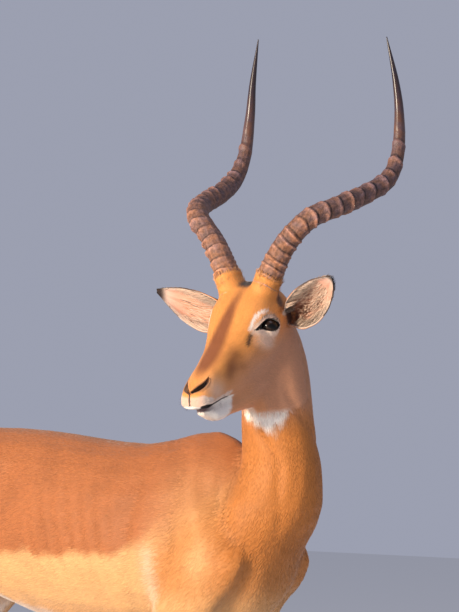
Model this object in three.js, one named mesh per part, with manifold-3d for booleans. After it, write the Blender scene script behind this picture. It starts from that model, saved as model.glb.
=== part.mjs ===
// A life-size impala ram, standing and looking over its right shoulder: one solid for each part of the
// body that has a name. Millimetres, +Z up, the body faces +X and its left side is +Y. The solids reach
// out to the tips of the short coat. The origin is on the floor, under the middle of the whole animal.
import * as THREE from "three";
import { mergeVertices } from "three/addons/utils/BufferGeometryUtils.js";
import Module from "manifold-3d";

const wasm = await Module();
wasm.setup();

// ---- driving dimensions ----------------------------------------------------------------------------
const WITHERS = 880; // height of the top of the shoulders
const CHEST_DEPTH = 348; // withers to breastbone
const BUTTOCK_X = -722; // rear end of the trunk, with the withers at x = 0
const BREAST_X = 176; // front end of the trunk
const SPLIT = 0.4; // gap left where two parts of the body meet
const HEAD_AT = [155, -70, 1140]; // middle of the brow, between the roots of the horns
const HEAD_TURN = -87; // degrees, the head is turned to the animal's right
const FACE_SLOPE = 33; // degrees below level of the line from the back of the skull to the lips
const EYE_RADIUS = 18;
const HORN_RADIUS = 22; // at the root
const HORN_RIDGES = 19;
const EAR_LENGTH = 165;
const EAR_THICK = 4.5;
const HOOF_LENGTH = 58;
const HOOF_GAP = 3; // cleft between the two claws of a foot
const FORE_CUT = 500; // height at which a foreleg is parted from the trunk
const HIND_CUT = 560;
const BELLY_END = -430; // the hind legs are parted behind this place

// ---- shared shape functions --------------------------------------------------------------------------
// A smooth curve through knots [place, value] that doesn't overshoot between them.
function through(...knots) {
  const rise = knots.slice(1).map((b, i) => (b[1] - knots[i][1]) / (b[0] - knots[i][0]));
  const slope = knots.map((_, i) => {
    const before = rise[i - 1] ?? rise[i];
    const after = rise[i] ?? rise[i - 1];
    return before * after <= 0 ? 0 : (2 * before * after) / (before + after);
  });
  return (t) => {
    let i = 0;
    while (i < knots.length - 2 && t > knots[i + 1][0]) i++;
    const step = knots[i + 1][0] - knots[i][0];
    const u = Math.min(1, Math.max(0, (t - knots[i][0]) / step));
    const start = knots[i][1] * (1 + 2 * u) * (1 - u) ** 2 + slope[i] * step * u * (1 - u) ** 2;
    const end = knots[i + 1][1] * u * u * (3 - 2 * u) - slope[i + 1] * step * u * u * (1 - u);
    return start + end;
  };
}

// Evenly spaced values from a to b, both included.
function steps(a, b, count) {
  return Array.from({ length: count }, (_, i) => a + ((b - a) * i) / (count - 1));
}

// An oval as [side, height] pairs: above and below its widest level it has its own height, and its own
// power, which pinches the outline where it is over 1 and squares it where it is under 1.
function oval(count, half, above, below, topPower = 1, basePower = 1) {
  return steps(0, 2 * Math.PI, count + 1).slice(0, count).map((angle) => {
    const across = Math.cos(angle);
    const up = Math.sin(angle);
    const power = up > 0 ? topPower : basePower;
    return [half * Math.sign(across) * Math.abs(across) ** power, up * (up > 0 ? above : below)];
  });
}

// A solid from a stack of rings of points, closed by a fan at each end.
function loft(rings) {
  const around = rings[0].length;
  const middle = (ring) => [0, 1, 2].map((axis) => ring.reduce((sum, p) => sum + p[axis], 0) / around);
  const points = [...rings.flat(), middle(rings[0]), middle(rings.at(-1))];
  const first = rings.length * around;
  const last = first - around;
  const faces = [];
  for (let k = 0; k < around; k++) {
    const next = (k + 1) % around;
    faces.push([first, next, k], [first + 1, last + k, last + next]);
    for (let row = 0; row < last; row += around) {
      faces.push([row + k, row + next, row + around + next]);
      faces.push([row + k, row + around + next, row + around + k]);
    }
  }
  const build = (list) =>
    new wasm.Manifold(
      new wasm.Mesh({
        numProp: 3,
        vertProperties: new Float32Array(points.flat()),
        triVerts: new Uint32Array(list.flat()),
      }),
    );
  const solid = build(faces);
  return solid.volume() > 0 ? solid : build(faces.map(([a, b, c]) => [a, c, b]));
}

// A three.js geometry as a solid.
function solidOf(geometry) {
  const bare = geometry.toNonIndexed();
  bare.deleteAttribute("normal");
  bare.deleteAttribute("uv");
  const merged = mergeVertices(bare, 1e-3);
  return new wasm.Manifold(
    new wasm.Mesh({
      numProp: 3,
      vertProperties: merged.attributes.position.array,
      triVerts: new Uint32Array(merged.index.array),
    }),
  );
}

// A solid as a named mesh in its own colour.
function part(name, solid, material) {
  const mesh = solid.getMesh();
  const geometry = new THREE.BufferGeometry();
  geometry.setAttribute("position", new THREE.BufferAttribute(mesh.vertProperties, 3));
  geometry.setIndex(new THREE.BufferAttribute(mesh.triVerts, 1));
  const flat = geometry.toNonIndexed();
  flat.computeVertexNormals();
  const made = new THREE.Mesh(flat, material);
  made.name = name;
  return made;
}

// A box between two corners, as a solid.
function block(low, high) {
  const size = low.map((value, axis) => high[axis] - value);
  const box = new THREE.BoxGeometry(...size);
  box.translate(...low.map((value, axis) => value + size[axis] / 2));
  return solidOf(box);
}

const coat = (color) => new THREE.MeshStandardMaterial({ color, roughness: 0.85, metalness: 0 });
const rufous = coat(0xb8744a);
const tan = coat(0xe0a060);
const hornMatter = new THREE.MeshStandardMaterial({ color: 0x5c4436, roughness: 0.5, metalness: 0 });
const hoofMatter = new THREE.MeshStandardMaterial({ color: 0x1c1815, roughness: 0.5, metalness: 0 });
const eyeMatter = new THREE.MeshStandardMaterial({ color: 0x120c08, roughness: 0.08, metalness: 0 });

// ---- trunk -------------------------------------------------------------------------------------------
const breastbone = WITHERS - CHEST_DEPTH;
const trunkTop = through(
  [BUTTOCK_X, 735], [-712, 772], [-680, 814], [-620, 856], [-545, 881], [-455, 884], [-360, 877],
  [-240, 864], [-130, 857], [-65, 866], [0, WITHERS], [60, 872], [100, 848], [140, 790], [BREAST_X, 690],
);
const trunkBase = through(
  [BUTTOCK_X, 708], [-705, 655], [-650, 612], [-540, 596], [-440, 573], [-340, 546], [-200, 535],
  [-60, 530], [0, breastbone], [70, 540], [120, 560], [158, 600], [BREAST_X, 650],
);
const trunkHalf = through(
  [BUTTOCK_X, 34], [-705, 66], [-660, 98], [-580, 116], [-480, 110], [-380, 110], [-260, 122],
  [-140, 124], [-40, 112], [40, 100], [100, 92], [150, 72], [BREAST_X, 40],
);
const trunkWidest = through(
  [BUTTOCK_X, 724], [-580, 736], [-380, 712], [-200, 690], [0, 680], [BREAST_X, 668],
);
const backPinch = through([BUTTOCK_X, 1], [-560, 1.15], [-400, 1], [-120, 1.1], [0, 1.6], [BREAST_X, 1.2]);
const keelPinch = through([BUTTOCK_X, 1], [-400, 0.95], [-100, 1.05], [60, 1.25], [BREAST_X, 1.1]);

function trunkRing(x, grow) {
  const level = trunkWidest(x);
  const outline = oval(
    24, trunkHalf(x) + grow, trunkTop(x) - level + grow, level - trunkBase(x) + grow,
    backPinch(x), keelPinch(x),
  );
  return outline.map(([side, height]) => [x, side, level + height]);
}

function trunkBody(grow = 0) {
  const places = steps(0, Math.PI, 24).map(
    (angle) => (BUTTOCK_X + BREAST_X) / 2 - ((BREAST_X - BUTTOCK_X) / 2) * Math.cos(angle),
  );
  places[0] -= grow;
  places[places.length - 1] += grow;
  return loft(places.map((x) => trunkRing(x, grow)));
}

// ---- legs --------------------------------------------------------------------------------------------
// Each leg is given from its highest muscle to the top of the hoof by curves over height: the place of
// its bone line forward and outward, its depth before and behind that line, and its half width.
const HOOF_TOP = 40;
const foreLeg = {
  levels: [
    838, 800, 750, 700, 660, 620, 580, 545, 505, 455, 400, 360, 335, 305, 270, 190, 125, 104, 84, 62,
    HOOF_TOP,
  ],
  forward: through(
    [HOOF_TOP, 66], [62, 54], [104, 37], [270, 32], [400, 24], [505, 14], [580, 28], [660, 72],
    [745, 42], [838, -6],
  ),
  outward: through(
    [HOOF_TOP, 68], [335, 72], [505, 78], [600, 82], [660, 86], [710, 80], [780, 60], [838, 34],
  ),
  before: through(
    [HOOF_TOP, 19], [62, 13], [84, 14], [104, 16], [125, 13], [190, 12], [270, 14], [305, 20], [335, 23],
    [360, 21], [400, 23], [455, 30], [505, 40], [580, 70], [640, 92], [690, 84], [780, 50], [838, 22],
  ),
  behind: through(
    [HOOF_TOP, 20], [62, 15], [84, 19], [104, 21], [125, 15], [190, 13], [270, 16], [320, 20], [345, 22],
    [400, 25], [455, 33], [505, 46], [560, 66], [620, 76], [700, 66], [780, 56], [838, 30],
  ),
  half: through(
    [HOOF_TOP, 20], [62, 14], [84, 15], [104, 16], [125, 12.5], [190, 11.5], [270, 13], [305, 17], [335, 20],
    [360, 18], [400, 18], [455, 22], [505, 26], [580, 30], [660, 32], [750, 28], [838, 14],
  ),
};
const hindLeg = {
  levels: [
    822, 785, 735, 685, 640, 600, 566, 535, 495, 455, 425, 402, 382, 358, 330, 290, 210, 130, 108, 86, 62,
    HOOF_TOP,
  ],
  forward: through(
    [HOOF_TOP, -606], [62, -617], [108, -638], [210, -652], [330, -664], [382, -668], [425, -650],
    [495, -612], [572, -566], [640, -552], [735, -580], [822, -606],
  ),
  outward: through(
    [HOOF_TOP, 72], [382, 76], [495, 80], [600, 82], [690, 79], [760, 66], [822, 40],
  ),
  before: through(
    [HOOF_TOP, 19], [62, 13], [86, 14], [108, 16], [130, 14], [210, 13], [330, 17], [358, 24], [382, 24],
    [425, 24], [495, 40], [535, 56], [572, 78], [610, 104], [660, 104], [735, 92], [822, 40],
  ),
  behind: through(
    [HOOF_TOP, 20], [62, 15], [86, 19], [108, 21], [130, 16], [210, 15], [330, 19], [358, 24], [390, 30],
    [412, 27], [455, 31], [495, 42], [535, 66], [572, 94], [640, 130], [720, 122], [780, 78], [822, 26],
  ),
  half: through(
    [HOOF_TOP, 20], [62, 14], [86, 15], [108, 16.5], [130, 13], [210, 12], [330, 14.5], [382, 18],
    [425, 17], [495, 24], [572, 34], [650, 40], [720, 38], [780, 28], [822, 12],
  ),
};
const PASTERN_TOP = 104; // below this height the sections lean with the pastern
const PASTERN_LEAN = 0.5; // rise of a section for each millimetre forward, at the hoof

// Height of a slanting section at a place ahead of the bone line; upright stretches stay level.
function leaned(level, ahead) {
  return level + ahead * PASTERN_LEAN * Math.max(0, 1 - (level - HOOF_TOP) / (PASTERN_TOP - HOOF_TOP));
}

// step is how far this foot stands ahead of the square stance.
function legBody(leg, side, step) {
  const top = leg.levels[0];
  return loft(
    leg.levels.map((level) => {
      const x = leg.forward(level) + step * (1 - level / top);
      const outline = oval(12, leg.half(level), leg.before(level), leg.behind(level), 0.95, 0.95);
      return outline.map(([across, ahead]) => [
        x + ahead, side * leg.outward(level) + across, leaned(level, ahead),
      ]);
    }),
  );
}

// One claw of a cloven hoof: flat on the floor, pointed at the toe, slanting up to the top of the hoof.
const CLAW_HALF = 10;
const CLAW_LEVELS = [0, 0.12, 0.55, 1]; // shares of the height from the sole to the top of the hoof
const TOE_SLANT = 0.36; // share of its length that a claw loses by its top
const TOE_POINT = 0.55; // share of its width that a claw loses by the toe
const SOLE_EDGE = 0.95; // the sole is this much smaller than the wall over it
const HEEL_BEHIND = 22; // heel behind the bone line

function claw(leg, side, step, inner) {
  const rim = leg.forward(HOOF_TOP) + step * (1 - HOOF_TOP / leg.levels[0]);
  const rings = CLAW_LEVELS.map((share) => {
    const rounding = share === 0 ? SOLE_EDGE : 1;
    const length = HOOF_LENGTH * (1 - TOE_SLANT * share) * rounding;
    const half = CLAW_HALF * (1 - 0.12 * share) * rounding;
    const heel = rim - HEEL_BEHIND + 5 * share;
    const middle = side * leg.outward(HOOF_TOP) + inner * (half + HOOF_GAP / 2);
    return steps(0, 2 * Math.PI, 10).slice(0, 9).map((angle) => {
      const along = (1 - Math.cos(angle)) / 2;
      const lost = half * TOE_POINT * along ** 2.5;
      const x = heel + length * along;
      const roof = leaned(HOOF_TOP, x - rim) - SPLIT;
      return [x, middle + (half - lost) * Math.sin(angle) - inner * lost * 0.6, share * roof];
    });
  });
  return loft(rings);
}

// ---- neck --------------------------------------------------------------------------------------------
// Level sections: the neck rises almost upright from between the shoulders and turns as it rises.
const NECK_FOOT = 620;
const NECK_HEAD = 1110;
const neckForward = through(
  [NECK_FOOT, 70], [690, 98], [734, 120], [769, 142], [800, 158], [835, 170], [893, 167], [956, 166],
  [1004, 162], [NECK_HEAD, 154],
);
const neckOutward = through(
  [NECK_FOOT, 0], [800, 0], [893, -8], [956, -10], [1004, -14], [1050, -24], [NECK_HEAD, -40],
);
const neckDeep = through(
  [NECK_FOOT, 92], [690, 104], [734, 116], [769, 103], [800, 88], [835, 75], [893, 69], [956, 62],
  [1004, 58], [1060, 50], [NECK_HEAD, 34],
);
const neckHalf = through(
  [NECK_FOOT, 84], [690, 94], [734, 92], [769, 82], [800, 70], [835, 61], [893, 59], [956, 60],
  [1004, 62], [1060, 58], [NECK_HEAD, 34],
);

function neckBody(grow = 0) {
  return loft(
    steps(NECK_FOOT, NECK_HEAD, 15).map((level) => {
      const deep = neckDeep(level) + grow;
      const outline = oval(16, neckHalf(level) + grow, deep, deep, 1.05, 1.1);
      return outline.map(([side, ahead]) => [
        neckForward(level) + ahead, neckOutward(level) + side, level,
      ]);
    }),
  );
}

// ---- tail: hangs from the end of the croup, bushy below ------------------------------------------------
const TAIL_LINE = [[-676, 796], [-714, 784], [-742, 742], [-753, 660], [-752, 560], [-744, 470]];
const tailHalf = through([0, 14], [0.2, 19], [0.5, 23], [0.8, 22], [1, 5]);
const tailDeep = through([0, 14], [0.2, 15], [0.5, 14], [0.8, 13], [1, 4]);

function tailBody() {
  const line = new THREE.CatmullRomCurve3(TAIL_LINE.map(([x, z]) => new THREE.Vector3(x, 0, z)));
  return loft(
    steps(0, 1, 10).map((share) => {
      const at = line.getPointAt(share);
      const along = line.getTangentAt(share);
      return oval(8, tailHalf(share), tailDeep(share), tailDeep(share)).map(([side, out]) => [
        at.x + out * along.z, side, at.z - out * along.x,
      ]);
    }),
  );
}

// ---- head, in its own frame: +X forward, +Y to its left, +Z up, from the middle of the brow ------------
// Stations run along the sloping axis from the back of the skull to the lips; heights are square to it.
const slope = THREE.MathUtils.degToRad(FACE_SLOPE);
const SKULL_AT = [-60, -75];
const onAxis = (along, height) => [
  SKULL_AT[0] + along * Math.cos(slope) + height * Math.sin(slope),
  SKULL_AT[1] - along * Math.sin(slope) + height * Math.cos(slope),
];
const SKULL_BACK = -34;
const LIP_FRONT = 262;
const brow = through(
  [SKULL_BACK, 34], [-20, 66], [5, 90], [35, 93], [65, 86], [100, 73], [140, 58], [190, 45], [225, 37],
  [246, 29], [257, 18], [LIP_FRONT, 6],
);
const palate = through(
  [SKULL_BACK, 0], [-10, -48], [30, -66], [90, -66], [150, -46], [190, -24], [232, -9], [252, -2],
  [LIP_FRONT, 4],
);
const faceHalf = through(
  [SKULL_BACK, 22], [-22, 40], [0, 52], [30, 58], [64, 61], [90, 56], [115, 47], [145, 38.5], [175, 34],
  [200, 32], [225, 31], [244, 28], [256, 20], [LIP_FRONT, 8],
);
const facePinch = through([SKULL_BACK, 1], [0, 0.8], [50, 0.5], [90, 0.5], [150, 0.75], [LIP_FRONT, 0.75]);
const faceWidest = through(
  [SKULL_BACK, 16], [0, 30], [60, 38], [100, 24], [150, 8], [200, 4], [LIP_FRONT, 5],
);
const JAW_BACK = 28;
const CHIN_FRONT = 243;
const jawTop = through([JAW_BACK, 10], [120, -8], [176, -23], [188, -26], [225, -15], [CHIN_FRONT, -13]);
const jawBase = through(
  [JAW_BACK, -62], [45, -90], [72, -101], [110, -92], [155, -73], [180, -62], [200, -56], [218, -52],
  [232, -42], [CHIN_FRONT, -23],
);
const jawHalf = through(
  [JAW_BACK, 34], [60, 46], [100, 42], [150, 29], [185, 22], [215, 21], [234, 17], [CHIN_FRONT, 8],
);

function headRing(along, count, half, high, low, widest, grow, topPower, basePower) {
  const outline = oval(count, half + grow, high - widest + grow, widest - low + grow, topPower, basePower);
  return outline.map(([side, height]) => {
    const [x, z] = onAxis(along, widest + height);
    return [x, side, z];
  });
}

const CROWDING = 0.035; // how much closer the stations stand at the two ends of the face

function headBody(grow = 0) {
  const face = steps(0, 1, 22).map((share) => {
    const eased = share - CROWDING * Math.sin(2 * Math.PI * share);
    const along = SKULL_BACK + (LIP_FRONT - SKULL_BACK) * eased;
    const reach = along + (share === 0 ? -grow : 0) + (share === 1 ? grow : 0);
    return headRing(
      reach, 18, faceHalf(along), brow(along), palate(along), faceWidest(along), grow, facePinch(along), 0.9,
    );
  });
  const jaw = steps(JAW_BACK, CHIN_FRONT, 12).map((along) => {
    const middle = (jawTop(along) + jawBase(along)) / 2;
    return headRing(along, 12, jawHalf(along), jawTop(along), jawBase(along), middle, grow, 0.9, 0.95);
  });
  return loft(face).add(loft(jaw));
}

const EYE_AT = [9, 50, -80.5]; // the left eye; the right one mirrors it
function eyeBall(side, grow = 0) {
  const ball = new THREE.SphereGeometry(EYE_RADIUS + grow, 12, 7);
  ball.rotateX(Math.PI / 2);
  ball.translate(EYE_AT[0], side * EYE_AT[1], EYE_AT[2]);
  return solidOf(ball);
}

// Half width of the face at a station and a height over the axis.
function flank(along, height) {
  const up = (height - faceWidest(along)) / (brow(along) - faceWidest(along));
  return faceHalf(along) * Math.sqrt(1 - Math.min(1, up) ** 2) ** facePinch(along);
}

// The nostrils are commas on the two sides of the nose; each is a slanting row of small hollows, from
// [station, height] at its back to the same at its front.
const NOSTRIL = { back: [228, 26], front: [247, 13], radius: 5.5 };
function nostril(side) {
  const hollows = steps(0, 1, 3).map((share) => {
    const along = NOSTRIL.back[0] + share * (NOSTRIL.front[0] - NOSTRIL.back[0]);
    const height = NOSTRIL.back[1] + share * (NOSTRIL.front[1] - NOSTRIL.back[1]);
    const [x, z] = onAxis(along, height);
    const dent = new THREE.SphereGeometry(NOSTRIL.radius, 6, 4);
    dent.translate(x, side * (flank(along, height) - 1), z);
    return solidOf(dent);
  });
  return hollows.reduce((all, one) => all.add(one));
}

// ---- horns: a lyre that sweeps out and back, then turns up to the smooth points -------------------------
const HORN_ROOT = [0, 41, 0];
const HORN_LINE = [
  // out from the root, up, back
  [-10, -26, -2], [0, 0, 0], [34, 60, 4], [76, 103, 16], [102, 122, 57], [112, 143, 124], [120, 169, 177],
  [120, 208, 203], [116, 276, 214], [110, 330, 213], [94, 408, 208],
];
const hornWidth = through(
  [0, 1], [0.06, 0.98], [0.2, 0.85], [0.4, 0.77], [0.55, 0.7], [0.64, 0.56], [0.74, 0.43], [0.87, 0.26],
  [1, 0.05],
);
const RIDGED = 0.72; // share of the horn that is ringed
const RIDGE_SWELL = 0.05; // how far a ridge stands out, and a furrow lies in, as a share of the radius
const HORN_DEPTH = 1.05; // front to back over side to side

function hornBody(side) {
  const line = new THREE.CatmullRomCurve3(
    HORN_LINE.map(([out, up, back]) => new THREE.Vector3(
      HORN_ROOT[0] - back, side * (HORN_ROOT[1] + out), HORN_ROOT[2] + up,
    )),
  );
  const ridged = steps(0, RIDGED, HORN_RIDGES * 2 + 1).map((share, i) => [
    share, i % 2 ? 1 + RIDGE_SWELL : 1 - RIDGE_SWELL,
  ]);
  const smooth = steps(RIDGED, 1, 7).slice(1).map((share) => [share, 1]);
  return loft(
    [...ridged, ...smooth].map(([share, swell]) => {
      const at = line.getPointAt(share);
      const along = line.getTangentAt(share);
      const back = new THREE.Vector3(-1, 0, 0).addScaledVector(along, along.x).normalize();
      const out = new THREE.Vector3().crossVectors(along, back);
      return oval(8, 1, 1, 1).map(([a, b]) => {
        const reach = HORN_RADIUS * hornWidth(share) * swell;
        const rim = at.clone().addScaledVector(out, a * reach);
        return rim.addScaledVector(back, b * reach * HORN_DEPTH).toArray();
      });
    }),
  );
}

// ---- ears: thin cupped leaves, rolled into a tube at the root ------------------------------------------
const EARS = {
  left: { root: [-56, 50, -60], along: [0.5, 0.84, 0.18], rise: 32, faces: [0.87, -0.1, -0.48] },
  right: { root: [-50, -48, -64], along: [0.2, -0.97, -0.02], rise: 46, faces: [0.95, 0.15, -0.05] },
};
const earHalf = through([0, 13], [0.12, 19], [0.3, 31], [0.47, 35], [0.66, 31], [0.86, 18], [1, 4]);
const earWrap = through([0, 2.5], [0.15, 2.0], [0.35, 1.4], [0.6, 1.1], [0.85, 0.9], [1, 0.7]);

const EAR_EDGE_POINTS = 7; // points across each face of the leaf
const EAR_THINNING = 0.45; // share of the thickness lost by the tip
const EAR_BACK = 0.6; // how far the back of the leaf lies behind its axis, as a share of its half width

// rise is how far the tip lies above the straight line that the ear leaves the head on.
function earBody({ root, along, rise, faces }) {
  const axis = new THREE.Vector3(...along).normalize();
  const front = new THREE.Vector3(...faces);
  front.addScaledVector(axis, -front.dot(axis)).normalize();
  const across = new THREE.Vector3().crossVectors(axis, front);
  return loft(
    steps(0, 1, 12).map((share) => {
      const wrap = earWrap(share);
      const radius = earHalf(share) / Math.sin(Math.min(wrap, Math.PI / 2));
      const thick = EAR_THICK * (1 - EAR_THINNING * share);
      const middle = new THREE.Vector3(...root).addScaledVector(axis, share * EAR_LENGTH);
      middle.z += rise * share ** 2;
      const point = (angle, reach) =>
        middle
          .clone()
          .addScaledVector(across, reach * Math.sin(angle))
          .addScaledVector(front, earHalf(share) * EAR_BACK - reach * Math.cos(angle))
          .toArray();
      const outside = steps(-wrap, wrap, EAR_EDGE_POINTS).map((angle) => point(angle, radius));
      const inside = steps(wrap, -wrap, EAR_EDGE_POINTS).map((angle) => point(angle, radius - thick));
      return [...outside, ...inside];
    }),
  );
}

// ---- putting the animal together -----------------------------------------------------------------------
const headGroup = new THREE.Group();
headGroup.position.set(...HEAD_AT);
headGroup.rotation.z = THREE.MathUtils.degToRad(HEAD_TURN);
headGroup.updateMatrix();
const inBody = (solid) => solid.transform(headGroup.matrix.elements);

const skull = headBody();
const skullRoom = headBody(SPLIT);
const neckRoom = neckBody(SPLIT).transform(headGroup.matrix.clone().invert().elements);
const sockets = eyeBall(1, SPLIT).add(eyeBall(-1, SPLIT));
headGroup.add(part("head", skull.subtract(sockets).subtract(nostril(1)).subtract(nostril(-1)), tan));
for (const [name, side] of [["left", 1], ["right", -1]]) {
  headGroup.add(part(`eye_${name}`, eyeBall(side), eyeMatter));
  headGroup.add(part(`horn_${name}`, hornBody(side).subtract(skullRoom), hornMatter));
  headGroup.add(part(`ear_${name}`, earBody(EARS[name]).subtract(skullRoom).subtract(neckRoom), tan));
}

const STANCE = { front_left: 22, front_right: -14, hind_left: -26, hind_right: 16 };
const legs = Object.entries(STANCE).map(([name, step]) => {
  const kind = name.startsWith("front") ? foreLeg : hindLeg;
  const side = name.endsWith("left") ? 1 : -1;
  return { name, kind, side, step, cut: kind === foreLeg ? FORE_CUT : HIND_CUT };
});
const limbs = legs.map(({ kind, side, step }) => legBody(kind, side, step));
const FAR = 2000;

// The shoulder and breast stay with the trunk: the neck is parted from it by one slanting plane.
const NECK_CUT = { rear: [84, 868], front: [214, 690] };
const neckFall = Math.atan2(NECK_CUT.rear[1] - NECK_CUT.front[1], NECK_CUT.front[0] - NECK_CUT.rear[0]);
function aheadOfNeckCut(gap) {
  const region = new THREE.BoxGeometry(FAR, FAR, FAR);
  region.translate(0, 0, FAR / 2 + gap / 2);
  region.rotateY(neckFall);
  region.translate(NECK_CUT.rear[0], 0, NECK_CUT.rear[1]);
  return solidOf(region);
}
const neckAndTrunk = trunkBody().add(neckBody());
const neckSide = neckAndTrunk.intersect(aheadOfNeckCut(SPLIT)).subtract(inBody(skullRoom));
const torso = limbs.reduce((all, limb) => all.add(limb), neckAndTrunk).subtract(aheadOfNeckCut(-SPLIT));
const trunk = torso
  .subtract(block([-FAR, -FAR, -FAR], [FAR, FAR, FORE_CUT + SPLIT]))
  .subtract(block([-FAR, -FAR, -FAR], [BELLY_END, FAR, HIND_CUT + SPLIT]));

const body = new THREE.Group();
body.add(headGroup);
body.add(part("trunk", trunk, rufous));
body.add(part("neck", neckSide, tan));
body.add(part("tail", tailBody().subtract(trunkBody(SPLIT)), rufous));
legs.forEach(({ name, kind, side, step, cut }, i) => {
  const below = block([-FAR, -FAR, -FAR], [FAR, FAR, cut]);
  body.add(part(`leg_${name}`, limbs[i].intersect(below), tan));
  body.add(part(`hoof_${name}_inner`, claw(kind, side, step, -side), hoofMatter));
  body.add(part(`hoof_${name}_outer`, claw(kind, side, step, side), hoofMatter));
});

const box = new THREE.Box3().setFromObject(body);
body.position.set(-(box.min.x + box.max.x) / 2, -(box.min.y + box.max.y) / 2, -box.min.z);

const impala = new THREE.Group();
impala.add(body);
export default impala;
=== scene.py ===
import math

import bmesh
import bpy
import numpy as np
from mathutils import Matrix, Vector
from mathutils.bvhtree import BVHTree


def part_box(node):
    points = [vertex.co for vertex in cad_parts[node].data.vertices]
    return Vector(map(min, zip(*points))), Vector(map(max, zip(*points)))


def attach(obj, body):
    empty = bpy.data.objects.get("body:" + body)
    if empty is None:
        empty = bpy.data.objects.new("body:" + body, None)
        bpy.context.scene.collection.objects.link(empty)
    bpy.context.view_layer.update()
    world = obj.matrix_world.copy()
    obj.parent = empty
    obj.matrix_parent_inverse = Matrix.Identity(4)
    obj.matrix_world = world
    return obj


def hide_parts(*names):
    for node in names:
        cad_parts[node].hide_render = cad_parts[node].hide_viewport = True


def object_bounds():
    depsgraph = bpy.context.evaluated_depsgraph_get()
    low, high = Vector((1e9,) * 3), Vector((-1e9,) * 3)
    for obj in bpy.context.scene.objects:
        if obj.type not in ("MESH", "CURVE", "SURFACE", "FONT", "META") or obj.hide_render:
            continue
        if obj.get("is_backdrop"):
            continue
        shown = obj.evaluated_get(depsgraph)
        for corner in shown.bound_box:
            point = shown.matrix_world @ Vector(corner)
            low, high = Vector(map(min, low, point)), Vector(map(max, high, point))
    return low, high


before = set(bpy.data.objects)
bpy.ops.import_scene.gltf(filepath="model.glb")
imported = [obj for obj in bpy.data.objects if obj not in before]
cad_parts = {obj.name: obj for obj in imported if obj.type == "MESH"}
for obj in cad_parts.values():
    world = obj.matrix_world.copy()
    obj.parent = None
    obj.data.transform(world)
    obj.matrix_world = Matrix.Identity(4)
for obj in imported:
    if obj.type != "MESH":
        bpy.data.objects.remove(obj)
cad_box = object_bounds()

# ---- The stance -------------------------------------------------------------------------------------
# An adult impala ram stands on the floor and looks over its right shoulder. The body's own frame has its
# origin on the floor under the withers, with +X ahead; the head's has its origin in the middle of the
# brow between the horns, with +X towards the nose. Both frames are in millimetres, and b, h and q below
# are places in the body's frame, in the head's, and about the middle of an eye.
MM = 1000  # in a metre
UP = np.array([0.0, 0.0, 1.0])
EYES_IN_HEAD = np.array([9, 0, -80.5])  # middle of the two eyes
BROW_IN_BODY = np.array([155, -70, 1140])


def middle(node):
    """Centre of a CAD node's box."""
    low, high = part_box(node)
    return (np.array(low) + np.array(high)) / 2


eye_at = {side: middle("eye_" + side) for side in ("left", "right")}
head_left = eye_at["left"] - eye_at["right"]
head_left /= np.linalg.norm(head_left)
HEAD_AXES = np.array([np.cross(head_left, UP), head_left, UP])
head_at = (eye_at["left"] + eye_at["right"]) / 2 - EYES_IN_HEAD / MM @ HEAD_AXES
body_at = head_at - BROW_IN_BODY / MM


def in_head(points):
    """Places in the head's frame: the offset from the brow, measured along the head's three axes."""
    return (points - head_at) @ HEAD_AXES.T * MM


def from_head(points):
    """The place of points given in the head's frame."""
    return head_at + np.asarray(points) / MM @ HEAD_AXES


def in_body(points):
    """Places in the body's frame: the offset from the floor under the withers."""
    return (points - body_at) * MM


def mirrored(side, places):
    """Places on the left side of the head for side 1, or their mirror places on the right for side -1."""
    return np.asarray(places, float) * [1, side, 1]


def ease(low, high, values):
    """A smooth step: 0 below low, 1 above high, and 3t^2 - 2t^3 between them."""
    t = np.clip((values - low) / (high - low), 0, 1)
    return t * t * (3 - 2 * t)


def hump(values, centre, width):
    """A bell: e to the minus square of the distance from centre in widths."""
    return np.exp(-(((values - centre) / width) ** 2))


# ---- The view -----------------------------------------------------------------------------------------
# A long lens, level with the brow, stands off the animal's right shoulder. The frame takes in the head,
# the neck and the fore part of the trunk, with the horns just inside its upper edge.
WITHERS = 0.880  # height of the shoulder
VIEW_TURN = math.radians(40)
VIEW_RISE = math.radians(1)
VIEW_DISTANCE = 10.0
VIEW_TALL = 1.0404  # height of the frame where the animal stands
VIEW_CENTRE = (0.04165, 0.2125)  # right of the withers, and above them
SENSOR = 36  # width of the film, in millimetres


def in_scene(name, data):
    """A new object at the origin of the scene that carries the data."""
    made = bpy.data.objects.new(name, data)
    bpy.context.scene.collection.objects.link(made)
    return made


view_right = np.array([math.cos(VIEW_TURN), math.sin(VIEW_TURN), 0])
view_back = np.array([
    math.sin(VIEW_TURN) * math.cos(VIEW_RISE), -math.cos(VIEW_TURN) * math.cos(VIEW_RISE),
    math.sin(VIEW_RISE),
])  # from the animal to the camera
view_aim = body_at + [0, 0, WITHERS] + VIEW_CENTRE[0] * view_right + [0, 0, VIEW_CENTRE[1]]
camera_data = bpy.data.cameras.new("camera")
camera_data.sensor_width = SENSOR
camera_data.lens = SENSOR * VIEW_DISTANCE / VIEW_TALL
camera_data.clip_end = 60
camera = in_scene("camera", camera_data)
camera.location = view_aim + VIEW_DISTANCE * view_back
camera.rotation_euler = Vector(-view_back).to_track_quat("-Z", "Y").to_euler()
bpy.context.scene.camera = camera


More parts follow.
